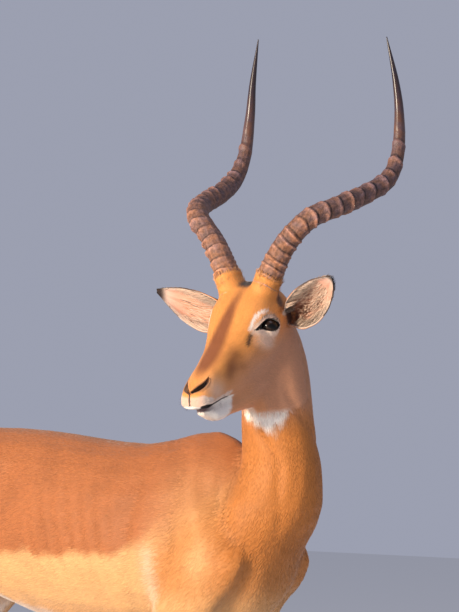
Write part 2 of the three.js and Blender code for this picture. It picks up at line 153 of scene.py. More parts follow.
# ---- The skin: shape ------------------------------------------------------------------------------------
# One hide over head, neck, trunk, tail and legs, lying inside the solids by the depth of the coat. It is
# grown from the solids of flesh: joined and drawn over at a coarse step for the body, then at a fine one
# with the head and legs, and carved with the muscles, ribs and folds that show under the hair.
FLESH = [
    "head", "neck", "trunk", "tail",
    "leg_front_left", "leg_front_right", "leg_hind_left", "leg_hind_right",
]
EARS = ["ear_left", "ear_right"]
BODY_STEP = 0.006  # of the net, in metres
HEAD_STEP = 0.0026
COARSE_ROUNDS = 60  # of smoothing
FINE_ROUNDS = 20
BODY_COAT = 0.003  # depth of the hair, in metres
FACE_COAT = 0.0012
OVERLAP = 0.0005  # each solid is grown by this much, to close the cuts between them


def read(items, name, each=1, kind=np.int32):
    """A property of all of a mesh's items as one flat array, with so many values for each item."""
    values = np.empty(len(items) * each, kind)
    items.foreach_get(name, values)
    return values


def places_of(mesh):
    """A mesh's vertex places."""
    return read(mesh.vertices, "co", 3, np.float32).reshape(-1, 3).astype(float)


def arrays(mesh):
    """A mesh's vertex places, its face corners as rows of equal length, and its edges."""
    corners = read(mesh.loops, "vertex_index").reshape(-1, len(mesh.polygons[0].vertices))
    return places_of(mesh), corners, read(mesh.edges, "vertices", 2).reshape(-1, 2)


def make_mesh(name, points, faces):
    """A mesh from places and faces, smooth shaded."""
    mesh = bpy.data.meshes.new(name)
    mesh.from_pydata(np.asarray(points).tolist(), [], np.asarray(faces).tolist())
    mesh.shade_smooth()
    return mesh


def settled(net, name):
    """A new mesh from a bmesh, which is freed."""
    mesh = bpy.data.meshes.new(name)
    net.to_mesh(mesh)
    net.free()
    return mesh


def evaluated(piece):
    """The arrays of an object's mesh with its modifiers applied."""
    return arrays(piece.evaluated_get(bpy.context.evaluated_depsgraph_get()).to_mesh())


def flesh_copy(nodes, grow):
    """The named CAD nodes as one loose mesh, merged and each grown outwards by a small amount."""
    whole = bmesh.new()
    for node in nodes:
        solid = bmesh.new()
        solid.from_mesh(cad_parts[node].data)
        bmesh.ops.remove_doubles(solid, verts=solid.verts, dist=1e-6)
        solid.normal_update()
        for vertex in solid.verts:
            vertex.co += vertex.normal * grow
        whole.from_mesh(settled(solid, node + "_grown"))
    return settled(whole, "flesh")


def remeshed(mesh, step):
    """The outer surface of a mesh, redrawn as even quads of one step, without loose pieces."""
    body = in_scene("remeshed", mesh)
    remesh = body.modifiers.new("redraw", "REMESH")
    remesh.mode = "VOXEL"
    remesh.voxel_size = step
    made = evaluated(body)
    bpy.data.objects.remove(body)
    return largest(*made)


def largest(points, faces, edges):
    """The biggest connected piece: labels spread along the edges until none changes."""
    label = np.arange(len(points))
    while True:
        low = np.minimum(label[edges[:, 0]], label[edges[:, 1]])
        before = label.copy()
        np.minimum.at(label, edges[:, 0], low)
        np.minimum.at(label, edges[:, 1], low)
        label = label[label]
        if np.array_equal(label, before):
            break
    keep = label == np.bincount(label).argmax()
    place = np.cumsum(keep) - 1
    return points[keep], place[faces[keep[faces[:, 0]]]], place[edges[keep[edges[:, 0]]]]


def evened(points, edges, rounds, weight=1.0, back=0.53):
    """Smoothing: a step of 0.5 towards the mean of the neighbours, then a step back from it. With a back
    step of 0.53 large forms keep their size (Taubin), and without one hollows fill up."""
    weight = np.broadcast_to(weight, (len(points), 1))
    pairs = np.concatenate([edges, edges[:, ::-1]])
    pairs = pairs[weight[pairs[:, 0], 0] > 0]
    moved, row = np.unique(pairs[:, 0], return_inverse=True)
    count = np.bincount(row, minlength=len(moved))[:, None]
    points = points.copy()
    for _ in range(rounds):
        for step in (0.5, -back) if back else (0.5,):
            near = points[pairs[:, 1]]
            total = np.stack([np.bincount(row, near[:, axis], len(moved)) for axis in range(3)], 1)
            points[moved] += weight[moved] * step * (total / count - points[moved])
    return points


def normals_of(points, faces):
    """Unit normals at the vertices: the sum of the cross products of the faces round each."""
    a, b, c = (points[faces[:, k]] for k in range(3))
    cross = np.cross(b - a, c - a)
    if faces.shape[1] == 4:
        cross = np.cross(c - a, points[faces[:, 3]] - b)
    total = np.stack([
        sum(np.bincount(faces[:, k], cross[:, axis], len(points)) for k in range(faces.shape[1]))
        for axis in range(3)
    ], 1)
    return total / np.maximum(np.linalg.norm(total, axis=1, keepdims=True), 1e-12)


def through(values, *knots):
    """A smooth curve through knots (place, value) that doesn't overshoot: a cubic between neighbours,
    where the slope at each knot is the harmonic mean of the rises on its two sides."""
    x, y = np.array(knots, float).T
    rise = np.diff(y) / np.diff(x)
    before, after = rise[:-1], rise[1:]
    level = before * after <= 0
    inner = np.where(level, 0, 2 * before * after / np.where(level, 1, before + after))
    slope = np.concatenate([rise[:1], inner, rise[-1:]])
    held = np.clip(values, x[0], x[-1])
    i = np.clip(np.searchsorted(x, held, side="right") - 1, 0, len(rise) - 1)
    step = np.diff(x)[i]
    t = (held - x[i]) / step
    start = y[i] * (1 + 2 * t) * (1 - t) ** 2 + slope[i] * step * t * (1 - t) ** 2
    return start + y[i + 1] * t * t * (3 - 2 * t) - slope[i + 1] * step * t * t * (1 - t)


FACE_SLOPE = math.radians(33)
SKULL_AT = (-60, -75)  # back of the skull: ahead and up


def along_face(h):
    """Station along the sloping axis of the face, from the back of the skull, and height square to it."""
    ahead, up = h[:, 0] - SKULL_AT[0], h[:, 2] - SKULL_AT[1]
    station = ahead * math.cos(FACE_SLOPE) - up * math.sin(FACE_SLOPE)
    return station, ahead * math.sin(FACE_SLOPE) + up * math.cos(FACE_SLOPE)


def jaw_line(station):
    """Height of the underside of the jaw at a station."""
    return through(
        station, (-40, -20), (28, -62), (45, -90), (72, -101), (110, -92), (155, -73), (180, -62),
        (218, -52), (243, -23),
    )


def head_share(h):
    """1 on the head and 0 on the neck, passing over below the line of the jaw and behind the skull."""
    station, height = along_face(h)
    return ease(-14, -2, height - jaw_line(station)) * ease(-78, -46, h[:, 0])


coarse_points, coarse_faces, coarse_edges = remeshed(flesh_copy(FLESH, OVERLAP), BODY_STEP)
coarse_points = evened(coarse_points, coarse_edges, COARSE_ROUNDS)
fine = bmesh.new()
fine.from_mesh(make_mesh("coarse", coarse_points, coarse_faces))
fine.from_mesh(flesh_copy(["head"] + [n for n in FLESH if n.startswith("leg")], OVERLAP))
fine.from_mesh(flesh_copy(["eye_left", "eye_right"], OVERLAP * 2))
skin_points, skin_faces, skin_edges = remeshed(settled(fine, "fine"), HEAD_STEP)
skin_points = evened(skin_points, skin_edges, FINE_ROUNDS)

h = in_head(skin_points)
near_skull = head_share(h) > 0.5
depth = BODY_COAT + (FACE_COAT - BODY_COAT) * np.where(near_skull, 1, ease(0.56, 0.42, skin_points[:, 2]))
skin_points = skin_points - normals_of(skin_points, skin_faces) * depth[:, None]

# ---- The skin: muscles and folds ------------------------------------------------------------------------
# What shows of the body under a short coat: the spine of the shoulder blade, the upper arm, the crease
# behind the shoulder, the ribs, the hollow of the flank in front of the hip bone, and the thigh.
SIDE_FORMS = [
    # centre x and z, half length, half width, tilt in degrees, height
    (48, 765, 120, 15, -66, 3.2),  # spine of the shoulder blade
    (112, 748, 90, 16, -68, -3.5),  # groove between neck and shoulder
    (-18, 655, 75, 42, -70, 3.5),  # upper arm
    (-78, 700, 130, 15, -96, -4.0),  # crease behind the shoulder
    (-428, 842, 26, 20, 0, 4.0),  # hip bone
    (-372, 798, 52, 30, 20, -5.0),  # hollow of the flank
    (-440, 604, 75, 13, -32, 3.5),  # fold from the stifle to the belly
    (-402, 560, 50, 16, -32, -5.0),  # hollow in front of that fold
    (-560, 705, 75, 60, -60, 2.5),  # thigh
    (-640, 700, 110, 10, -72, -3.0),  # groove down the back of the thigh
    (84, 778, 44, 5, -78, -1.4),  # creases where the neck turns
    (97, 772, 48, 5, -80, 1.5),
    (112, 768, 42, 4, -82, 1.3),
    (-690, 792, 20, 18, 0, 3.0),  # pin bone
    (-35, 560, 24, 20, 0, 2.5),  # point of the elbow
]
RIB_STEP = 31
RIB_HEIGHT = 0.5
RIB_SLANT = 0.28
RIBS_AT = 700  # height of the middle of the rib cage
GROOVE_DEPTH = 2.6  # of the jugular groove
THROAT_ROUNDS = 30  # of smoothing
ARMPIT_ROUNDS = 90


def carve_body(points, normals):
    """Moves the skin along its normals by a sum of long bells, each turned to lie along its muscle."""
    b = in_body(points)
    lift = np.zeros(len(b))
    for x, z, long, wide, tilt, height in SIDE_FORMS:
        turn = math.radians(tilt)
        ahead = (b[:, 0] - x) * math.cos(turn) + (b[:, 2] - z) * math.sin(turn)
        beside = (b[:, 2] - z) * math.cos(turn) - (b[:, 0] - x) * math.sin(turn)
        lift += height * hump(ahead, 0, long) * hump(beside, 0, wide)
    slant = b[:, 0] + RIB_SLANT * (b[:, 2] - RIBS_AT)
    barrel = ease(-350, -290, b[:, 0]) * ease(-80, -130, b[:, 0]) * hump(b[:, 2], RIBS_AT, 110)
    lift += RIB_HEIGHT * barrel * np.cos(2 * math.pi * slant / RIB_STEP)
    lift *= ease(0.3, 0.75, np.abs(normals[:, 1])) * (b[:, 2] < 930)

    # the jugular groove runs down each side of the windpipe, and turns with the neck
    around = np.arctan2(b[:, 1] + 8, b[:, 0] - 160)
    front = math.radians(-80) * ease(820, 970, b[:, 2])
    off = np.abs(np.angle(np.exp(1j * (around - front))))
    on_neck = ease(690, 760, b[:, 2]) * ease(1000, 950, b[:, 2]) * (b[:, 0] > 60)
    lift -= GROOVE_DEPTH * on_neck * hump(off, math.radians(44), math.radians(9))

    # the loins lie low, and the withers run on into the neck
    rise = 6 * hump(b[:, 0], 42, 36) - 7 * hump(b[:, 0], -470, 110)
    rise *= ease(790, 840, b[:, 2]) * ease(950, 920, b[:, 2]) * ease(0.2, 0.8, normals[:, 2])
    return points + (normals * lift[:, None] + UP * rise[:, None]) / MM


HEAD_FORMS = [
    # centre on the left side: ahead, out, up; radius; height
    (16, 50, -50, 15, 2.4),  # brow ridge over the eye
    (-10, 56, -58, 12, 1.6),
    (40, 34, -92, 13, -4.6),  # hollow before the eye
    (52, 38, -104, 10, -1.8),
    (22, 60, -110, 12, 1.6),  # cheek bone
    (52, 50, -126, 13, 1.2),
    (70, 34, -150, 14, -1.6),  # hollow behind the muzzle
    (104, 26, -170, 13, -1.4),
    (-8, 46, -160, 26, 1.8),  # cheek muscle
    (26, 34, -200, 14, 1.0),
    (2, 42, -2, 22, 2.2),  # swelling that carries the horn
    (30, 0, -22, 16, -1.6),  # dip of the forehead
    (132, 24, -152, 10, 1.2),  # upper rim of the nostril
    (88, 16, -236, 12, 1.6),  # chin
]


def carve_head(points, normals):
    """Moves the head's skin along its normals by a sum of round bells, alike on both sides."""
    h = in_head(points)
    lift = np.zeros(len(h))
    for *place, radius, height in HEAD_FORMS:
        for side in (1, -1) if place[1] else (1,):
            away = np.linalg.norm(h - mirrored(side, place), axis=1)
            lift += height * hump(away, 0, radius)
    return points + normals * lift[:, None] / MM


station, height = along_face(h)
throat = hump(height - jaw_line(station), -6, 16) * (h[:, 2] > -320)
skin_points = evened(skin_points, skin_edges, THROAT_ROUNDS, throat[:, None])
b = in_body(skin_points)
armpit = ease(10, 50, b[:, 0]) * ease(535, 590, b[:, 2]) * ease(770, 710, b[:, 2])
skin_points = evened(skin_points, skin_edges, ARMPIT_ROUNDS, armpit[:, None], 0)
skin_points = carve_body(skin_points, normals_of(skin_points, skin_faces))
skin_points = carve_head(skin_points, normals_of(skin_points, skin_faces))

# ---- The skin: a closer net on the face -----------------------------------------------------------------
# The body's net is thinned where its shape is plain, and the net is drawn closer round the eyes, the
# nostrils and the mouth.
BODY_SHARE = 0.30  # of the faces, after the body is thinned
EYE_RADIUS = 18
EYE_PLACE = (11, 49, -77.5)
EYE_TURN = math.radians(30)  # the eyes look this far ahead of sideways
MOUTH_CORNER = (86, 28, -193)


def eye_axes(side):
    """An eye's centre on the head, and rows that point to the nose, outwards and up."""
    toward_nose = (math.cos(EYE_TURN), -side * math.sin(EYE_TURN), 0)
    outward = (math.sin(EYE_TURN), side * math.cos(EYE_TURN), 0)
    return mirrored(side, EYE_PLACE), np.array([toward_nose, outward, (0, 0, 1)])


def in_eye(side, h):
    """Head places as distances from an eye's centre: towards the nose, outwards and up."""
    centre, axes = eye_axes(side)
    return (h - centre) @ axes.T


def from_eye(side, q):
    """The place of points given as distances from an eye's centre."""
    centre, axes = eye_axes(side)
    return from_head(centre + q @ axes)


def thinned(points, faces, loose, share):
    """The mesh as triangles, with the marked vertices' part of it thinned to a share of all its faces."""
    body = in_scene("thinned", make_mesh("thinned", points, faces))
    group = body.vertex_groups.new(name="loose")
    group.add(np.flatnonzero(loose).tolist(), 1.0, "REPLACE")
    thin = body.modifiers.new("thin", "DECIMATE")
    thin.ratio = share
    thin.vertex_group = group.name
    triangulate = body.modifiers.new("split", "TRIANGULATE")
    triangulate.quad_method = "SHORTEST_DIAGONAL"
    made = evaluated(body)
    bpy.data.objects.remove(body)
    return made


def closer(points, faces, marked):
    """Each triangle with its three corners marked becomes four, and those beside them are split to fit."""
    net = bmesh.new()
    net.from_mesh(make_mesh("net", points, faces))
    net.verts.ensure_lookup_table()
    edges = [e for e in net.edges if marked[e.verts[0].index] and marked[e.verts[1].index]]
    bmesh.ops.subdivide_edges(net, edges=edges, cuts=1, use_grid_fill=True)
    bmesh.ops.triangulate(net, faces=net.faces)
    return arrays(settled(net, "closer"))


skin_points, skin_faces, skin_edges = thinned(skin_points, skin_faces, ~near_skull, BODY_SHARE)
for reach in (1.0, 0.8):
    h = in_head(skin_points)
    marked = np.zeros(len(h), bool)
    for side in (1, -1):
        q = in_eye(side, h)
        marked |= (np.hypot((q[:, 0] - 5) / 30, q[:, 2] / 22) < reach) & (q[:, 1] > 2)
    station, height = along_face(h)
    muzzle = (station > 175) & (h[:, 2] > -232) & (h[:, 2] < -158)
    marked |= muzzle if reach == 1 else muzzle & (height < 34) & (height > -34) & (station > 186)
    skin_points, skin_faces, skin_edges = closer(skin_points, skin_faces, marked)
h = in_head(skin_points)
skin_points = evened(skin_points, skin_edges, 4, head_share(h)[:, None])

# ---- The skin: lids, nostrils and mouth -----------------------------------------------------------------
# Almond eyelids lie on the eye ball with a dark tear groove at the nose end. The nostrils are commas that
# meet over the cleft of the lip, and the mouth is a little open.
EYE_MIDDLE = 4  # middle between the ends of the lids, ahead of the eye's centre
EYE_REACH = 40  # radius of the part of the face that the lids shape
LID = 2.0  # thickness of a lid over the eye ball
LID_RIM = 0.45  # points this close to the edge of a lid are brought onto it
SOCKET = 4.5  # depth of the skin behind the face of the ball
UPPER_LID = [(-15.5, 2), (-8.7, 8.8), (1, 12), (9.4, 11.2), (15, 8), (32, -7)]
LOWER_LID = [(-15.5, 2), (-7.8, -5.4), (1, -7.2), (11, -5.8), (17.5, -4.2), (32, -7)]
LID_SEAM = [(-15.5, 2), (32, -7)]
NOSTRIL = [(140, 25, -160), (144, 24, -167), (149, 20, -173), (156, 12, -180), (165, 5, -186)]
NOSTRIL_HALF = [(0, 0.8), (0.3, 2.0), (0.65, 2.6), (1, 1.2)]
LIP_CLEFT = [(168, 0, -194), (166, 0, -204), (158, 0, -214)]
MOUTH = [(154, 1, -209), (148, 6, -210), (130, 15, -208), (108, 23, -199), MOUTH_CORNER]
MOUTH_HALF = [(0, 1.2), (0.25, 3.0), (0.6, 2.3), (1, 0.8)]
NOSE_WALL = np.array([0.55, 0.8, 0.2])  # the way a nostril opens, on the left
NOSE_WALL /= np.linalg.norm(NOSE_WALL)
SIDEWAYS = np.array([0, 1, 0])


def round_eye(q):
    """Whether places lie on the face near the eye, on the side that it looks to."""
    return (np.hypot(q[:, 0] - EYE_MIDDLE, q[:, 2]) < EYE_REACH) & (q[:, 1] > 0)


def off_almond(q):
    """Distance outside the opening between the lids, less than 0 inside it."""
    over = q[:, 2] - through(q[:, 0], *UPPER_LID)
    under = through(q[:, 0], *LOWER_LID) - q[:, 2]
    past = np.maximum(q[:, 0] - UPPER_LID[-1][0], UPPER_LID[0][0] - q[:, 0])
    return np.maximum(np.maximum(over, under), past)


def off_line(h, knots):
    """Distance from a bent line through knots, and the share of the way along it."""
    best = np.full(len(h), np.inf)
    share = np.zeros(len(h))
    knots = np.array(knots, float)
    for i in range(len(knots) - 1):
        run = knots[i + 1] - knots[i]
        t = np.clip((h - knots[i]) @ run / (run @ run), 0, 1)
        away = np.linalg.norm(h - knots[i] - t[:, None] * run, axis=1)
        share = np.where(away < best, (i + t) / (len(knots) - 1), share)
        best = np.minimum(best, away)
    return best, share


def seen_along(axis, h, knots):
    """Distance from a bent line as seen along an axis, and the share of the way along the line."""
    knots = np.array(knots, float)
    return off_line(h - (h @ axis)[:, None] * axis, knots - (knots @ axis)[:, None] * axis)


def folded(h):
    """Head places with the right side laid over the left."""
    return np.stack([h[:, 0], np.abs(h[:, 1]), h[:, 2]], 1)


def nostril_at(h):
    """Distance from the nostrils' lines in half widths of a nostril, far away behind the muzzle."""
    away, share = seen_along(NOSE_WALL, folded(h), NOSTRIL)
    return away / through(share, *NOSTRIL_HALF) + 20 * ease(136, 128, h[:, 0]) * (h[:, 0] < 136)


def mouth_at(h):
    """Distance from the line of the mouth, and the share of the way to its corner."""
    return seen_along(SIDEWAYS, h, MOUTH)


def shape_lids(points, side):
    """A height over the eye's plane: a shell over the ball outside the almond, a step in behind it."""
    h = in_head(points)
    q = in_eye(side, h)
    near = round_eye(q)
    e = q[near]
    off = off_almond(e)
    rim = np.abs(off) < LID_RIM
    e[rim, 2] -= np.where(e[rim, 2] > through(e[rim, 0], *LID_SEAM), 1, -1) * off[rim]
    off = np.where(rim, 0, off)
    flat = e[:, 0] ** 2 + e[:, 2] ** 2
    ball = np.sqrt(np.maximum(EYE_RADIUS**2 - flat, 0))
    shell = np.sqrt(np.maximum((EYE_RADIUS + LID) ** 2 - flat, 0))
    outside = np.maximum(e[:, 1], shell)
    above = e[:, 2] > through(e[:, 0], *LID_SEAM)
    # a fold above the upper lid with a swelling over it, and a shallower one under the lower lid
    fold = np.where(above, -1.5 * hump(off, 6.2, 1.1) + 0.9 * hump(off, 9, 2.2), -0.9 * hump(off, 5, 1.2))
    fold *= ease(26, 12, np.abs(e[:, 0] - 2))
    roll = 0.5 * hump(off, 1.2, 1.4)
    inside = np.where(flat < (EYE_RADIUS - 1) ** 2, ball - SOCKET, e[:, 1] - 4)
    inside = np.minimum(inside, outside - 3)
    e[:, 1] = np.where(off < -0.1, inside, outside + fold + roll)
    moved = points.copy()
    moved[near] = from_eye(side, e)
    return moved


def carve_muzzle(points, normals):
    """Nostrils, lip cleft and mouth: each a groove along its line, with rounded lips beside it."""
    h = in_head(points)
    lift = np.zeros(len(h))
    away = nostril_at(h)
    lift -= 8.5 * ease(1.6, 0.5, away) - 1.2 * hump(away, 2.2, 0.6)
    mouth, share = mouth_at(h)
    away = mouth / through(share, *MOUTH_HALF) + 20 * (h[:, 0] < MOUTH_CORNER[0] - 2)
    lift -= 6.5 * ease(1.6, 0.3, away) - 0.8 * hump(away, 2.5, 0.9)
    cleft, _ = off_line(h, LIP_CLEFT)
    lift -= 1.6 * hump(cleft, 0, 1.6)
    return points + normals * lift[:, None] / MM


skin_points = carve_muzzle(skin_points, normals_of(skin_points, skin_faces))
for side in (1, -1):
    skin_points = shape_lids(skin_points, side)

# ---- The skin: roots of the horns -------------------------------------------------------------------------
# Two horns curve like a lyre. Haired skin climbs the foot of each in a short sleeve, which is joined to the
# rest of the skin with the ears.
HORN_ROOT = (0, 41, 0)
HORN_LINE = [
    # out from the root, up, back
    (-10, -26, -2), (0, 0, 0), (34, 60, 4), (76, 103, 16), (102, 122, 57), (112, 143, 124), (120, 169, 177),
    (120, 208, 203), (116, 276, 214), (110, 330, 213), (94, 408, 208),
]
HORN_WIDTH = [
    (0, 1), (0.06, 0.98), (0.2, 0.85), (0.4, 0.77), (0.55, 0.7), (0.64, 0.56), (0.74, 0.43), (0.87, 0.26),
    (1, 0.04),
]
HORN_RADIUS = 21.2
HORN_DEPTH = 1.05  # from front to back, as a share of the width
SLEEVE_LENGTH = 37
SLEEVE_ROOT = 24  # how far the sleeve runs on down into the head
SLEEVE_SPARE = [(-24, 0), (0, 3.4), (10, 4), (20, 3.6), (31, 2), (37, -2.5)]  # outside the horn, at a height
COLLAR_ROUNDS = 60  # of smoothing


def horn_line(count):
    """Evenly spaced places and directions on a centripetal Catmull-Rom curve through the horn's knots,
    and its length."""
    knots = np.array([(HORN_ROOT[0] - b, HORN_ROOT[1] + o, HORN_ROOT[2] + u) for o, u, b in HORN_LINE], float)
    knots = np.concatenate([2 * knots[:1] - knots[1:2], knots, 2 * knots[-1:] - knots[-2:-1]])
    t = np.linspace(0, 1, 60, endpoint=False)[:, None]
    pieces = []
    for a, b, c, d in zip(knots, knots[1:], knots[2:], knots[3:]):
        before, here, after = (np.linalg.norm(v) ** 0.5 for v in (b - a, c - b, d - c))
        start = ((b - a) / before - (c - a) / (before + here) + (c - b) / here) * here
        end = ((c - b) / here - (d - b) / (here + after) + (d - c) / after) * here
        square, cube = 3 * (c - b) - 2 * start - end, 2 * (b - c) + start + end
        pieces.append(b + start * t + square * t**2 + cube * t**3)
    line = np.concatenate([*pieces, knots[-2:-1]])
    far = np.concatenate([[0], np.cumsum(np.linalg.norm(np.diff(line, axis=0), axis=1))])
    even = np.linspace(0, far[-1], count)
    places = np.stack([np.interp(even, far, line[:, k]) for k in range(3)], 1)
    along = np.gradient(places, axis=0)
    return places, along / np.linalg.norm(along, axis=1, keepdims=True), far[-1]


def horn_ring(place, along, turn, reach, side):
    """Head places round the horn's line: an oval, deeper from front to back than it is wide."""
    back = np.array([-1.0, 0, 0]) + along * along[:, :1]
    back /= np.linalg.norm(back, axis=1, keepdims=True)
    out = np.cross(along, back)
    h = place[:, None] + (reach * np.sin(turn))[..., None] * out[:, None]
    h = h - (reach * np.cos(turn) * HORN_DEPTH)[..., None] * back[:, None]
    return mirrored(side, h)


def ring_faces(rows, around):
    """Quads of a tube with its rings in rows, and a triangle fan with a middle point at each end."""
    start = np.arange(rows - 1)[:, None] * around + np.arange(around)
    turn = np.arange(rows - 1)[:, None] * around + np.roll(np.arange(around), -1)
    quads = np.stack([start, turn, turn + around, start + around], -1).reshape(-1, 4)
    first, last = rows * around, rows * around + 1
    ring, after = np.arange(around), np.roll(np.arange(around), -1)
    top = (rows - 1) * around
    fans = np.concatenate([
        np.stack([np.full(around, first), after, ring], -1),
        np.stack([np.full(around, last), ring + top, after + top], -1),
    ])
    return quads.tolist() + fans.tolist()


def tube(name, grid):
    """A closed mesh from rings of points (rows, around, 3), its ends closed at their middles."""
    points = np.concatenate([grid.reshape(-1, 3), grid[[0, -1]].mean(1)])
    mesh = bpy.data.meshes.new(name)
    mesh.from_pydata(points.tolist(), [], ring_faces(*grid.shape[:2]))
    mesh.shade_smooth()
    net = bmesh.new()
    net.from_mesh(mesh)
    bmesh.ops.recalc_face_normals(net, faces=net.faces)
    if net.calc_volume(signed=True) < 0:
        bmesh.ops.reverse_faces(net, faces=net.faces)
    net.to_mesh(mesh)
    net.free()
    return mesh


def sleeve_mesh(side):
    """A tube round the foot of the horn, a little wider than it, that closes inside the horn at its top."""
    line, along, length = horn_line(600)
    far = np.linspace(0, length, 600)
    used = far < SLEEVE_LENGTH
    deep = np.linspace(SLEEVE_ROOT, 1, 12)
    line = np.concatenate([line[0] - deep[:, None] * along[0], line[used]])
    along = np.concatenate([np.repeat(along[:1], len(deep), 0), along[used]])
    far = np.concatenate([-deep, far[used]])
    turn = np.linspace(0, 2 * math.pi, 56, endpoint=False)[None, :]
    reach = HORN_RADIUS + through(far, *SLEEVE_SPARE)[:, None] + 0 * turn
    return tube("sleeve", from_head(horn_ring(line, along, turn, reach, side)))


# ---- The skin: ears ---------------------------------------------------------------------------------------
# Thin leaves of gristle, rolled into a tube at the root and cupped to the front, with three low ribs along
# the inner face. They grow out of the skin, so they are joined to it and the joint is smoothed.
EAR_FORMS = {
    # side: root; direction; rise of the tip over a straight ear; where the cup faces
    "left": ((-56, 50, -60), (0.5, 0.84, 0.18), 32, (0.87, -0.1, -0.48)),
    "right": ((-50, -48, -64), (0.2, -0.97, -0.02), 46, (0.95, 0.15, -0.05)),
}
EAR_LENGTH = 165
EAR_THICK = 4.5
EAR_THINNED = 0.45  # share of the thickness that is gone at the tip
EAR_HALF = [(0, 13), (0.12, 19), (0.3, 31), (0.47, 35), (0.66, 31), (0.86, 18), (1, 4)]
EAR_WRAP = [(0, 2.5), (0.15, 2.0), (0.35, 1.4), (0.6, 1.1), (0.85, 0.9), (1, 0.7)]
EAR_BACK = 0.6  # how far the back of the leaf lies behind its axis, in half widths
EAR_COAT = 0.7  # depth of the hair
EAR_ROUNDS = 20  # of smoothing where an ear joins the head


def ear_axes(side):
    """An ear's root and its three directions: along it, across it and out of its cup."""
    root, along, rise, faces = EAR_FORMS[side]
    along = np.array(along) / np.linalg.norm(along)
    front = np.array(faces) - np.dot(faces, along) * along
    front /= np.linalg.norm(front)
    return np.array(root, float), along, np.cross(along, front), front, rise


def ear_point(side, share, angle, reach):
    """Head places on an ear: a circle round its axis, with radius reach and angle from its back."""
    root, along, across, front, rise = ear_axes(side)
    middle_line = root + share[..., None] * EAR_LENGTH * along
    middle_line = middle_line + (rise * share**2)[..., None] * UP
    back = through(share, *EAR_HALF) * EAR_BACK - reach * np.cos(angle)
    return middle_line + (reach * np.sin(angle))[..., None] * across + back[..., None] * front


def ear_radius(share):
    """Radius of the leaf's outer face at a share of its length."""
    return through(share, *EAR_HALF) / np.sin(np.minimum(through(share, *EAR_WRAP), math.pi / 2))


def ear_thick(share):
    """Thickness of the leaf, which thins towards its tip."""
    return EAR_THICK * (1 - EAR_THINNED * share)


def in_ear(side, h):
    """A head place's share of the ear's length, its angle round the cup and its depth in the leaf."""
    root, along, across, front, rise = ear_axes(side)
    share = (h - root) @ along / EAR_LENGTH
    for _ in range(4):
        share = (h - root - (rise * share**2)[:, None] * UP) @ along / EAR_LENGTH
    held = np.clip(share, 0, 1)
    off = h - root - held[:, None] * EAR_LENGTH * along - (rise * held**2)[:, None] * UP
    out = through(held, *EAR_HALF) * EAR_BACK - off @ front
    angle = np.arctan2(off @ across, out)
    return share, angle, ear_radius(held) - np.hypot(off @ across, out)


def ear_mesh(side):
    """The leaf: its outer face and its ribbed inner face, met along the two rims."""
    share = np.linspace(0, 0.995, 110)[:, None]
    radius = ear_radius(share)
    wrap = through(share, *EAR_WRAP) - EAR_COAT / radius
    spread = np.linspace(-1, 1, 45)[None, :]
    ribs = 0.9 * np.cos(spread * 3 * math.pi) * ease(0.8, 0.4, share) * ease(1, 0.7, np.abs(spread))
    outer = ear_point(side, share + 0 * spread, wrap * spread, radius - EAR_COAT + 0 * spread)
    inner = ear_point(side, share + 0 * spread, wrap * spread, radius - ear_thick(share) + EAR_COAT + ribs)
    return tube("ear_" + side, from_head(np.concatenate([outer, inner[:, ::-1]], 1)))


def joined(mesh, others):
    """One closed mesh from several that run into each other."""
    whole = in_scene("whole", mesh)
    extra = [in_scene("part", other) for other in others]
    for part in extra:
        join = whole.modifiers.new("join", "BOOLEAN")
        join.operation, join.solver, join.object = "UNION", "MANIFOLD", part
    split = whole.modifiers.new("split", "TRIANGULATE")
    split.min_vertices = 4
    made = evaluated(whole)
    for used in [whole, *extra]:
        bpy.data.objects.remove(used)
    return largest(*made)


skin_points, skin_faces, skin_edges = joined(
    make_mesh("skin", skin_points, skin_faces),
    [ear_mesh("left"), ear_mesh("right"), sleeve_mesh(1), sleeve_mesh(-1)],
)

# how far each point belongs to the joint with an ear, and to the joint with a sleeve
h = in_head(skin_points)
roots = np.zeros(len(h))
for side in EAR_FORMS:
    share, _, _ = in_ear(side, h)
    root = ear_axes(side)[0]
    roots += ease(48, 30, np.linalg.norm(h - root, axis=1)) * (h[:, 2] > -150)
foot_line, foot_along, _ = horn_line(60)
collars = np.zeros(len(h))
for side in (1, -1):
    foot = np.concatenate([foot_line[:1] - SLEEVE_ROOT * foot_along[:1], foot_line[:5]])
    away, _ = off_line(h, mirrored(side, foot))
    climbed = (h - mirrored(side, foot_line[0])) @ mirrored(side, foot_along[3])
    collars += ease(44, 32, away) * ease(31, 23, climbed)
skin_points = evened(skin_points, skin_edges, EAR_ROUNDS, np.minimum(roots, 1)[:, None])
skin_points = evened(skin_points, skin_edges, COLLAR_ROUNDS, np.minimum(collars, 1)[:, None], 0)

# ---- The markings -----------------------------------------------------------------------------------------
# A rufous saddle over tan flanks and a white belly, a dark bridge to the face, pale rings and streaks at
# the eyes, a white chin, lips and throat, black ear tips, and black stripes on the rump and tail. Skin and
# coat take the same colours. Some light and shade is painted in too: shade on the upper neck under the
# head, in the folds over the eyes, in the nostrils, the cleft, the gape and the openings of the ears, and
# a highlight along the rear edge of the upper arm.
def shade(red, green, blue):
    """A colour given as it looks, 0 to 255, as light."""
    return ((np.array([red, green, blue]) / 255 + 0.055) / 1.055) ** 2.4


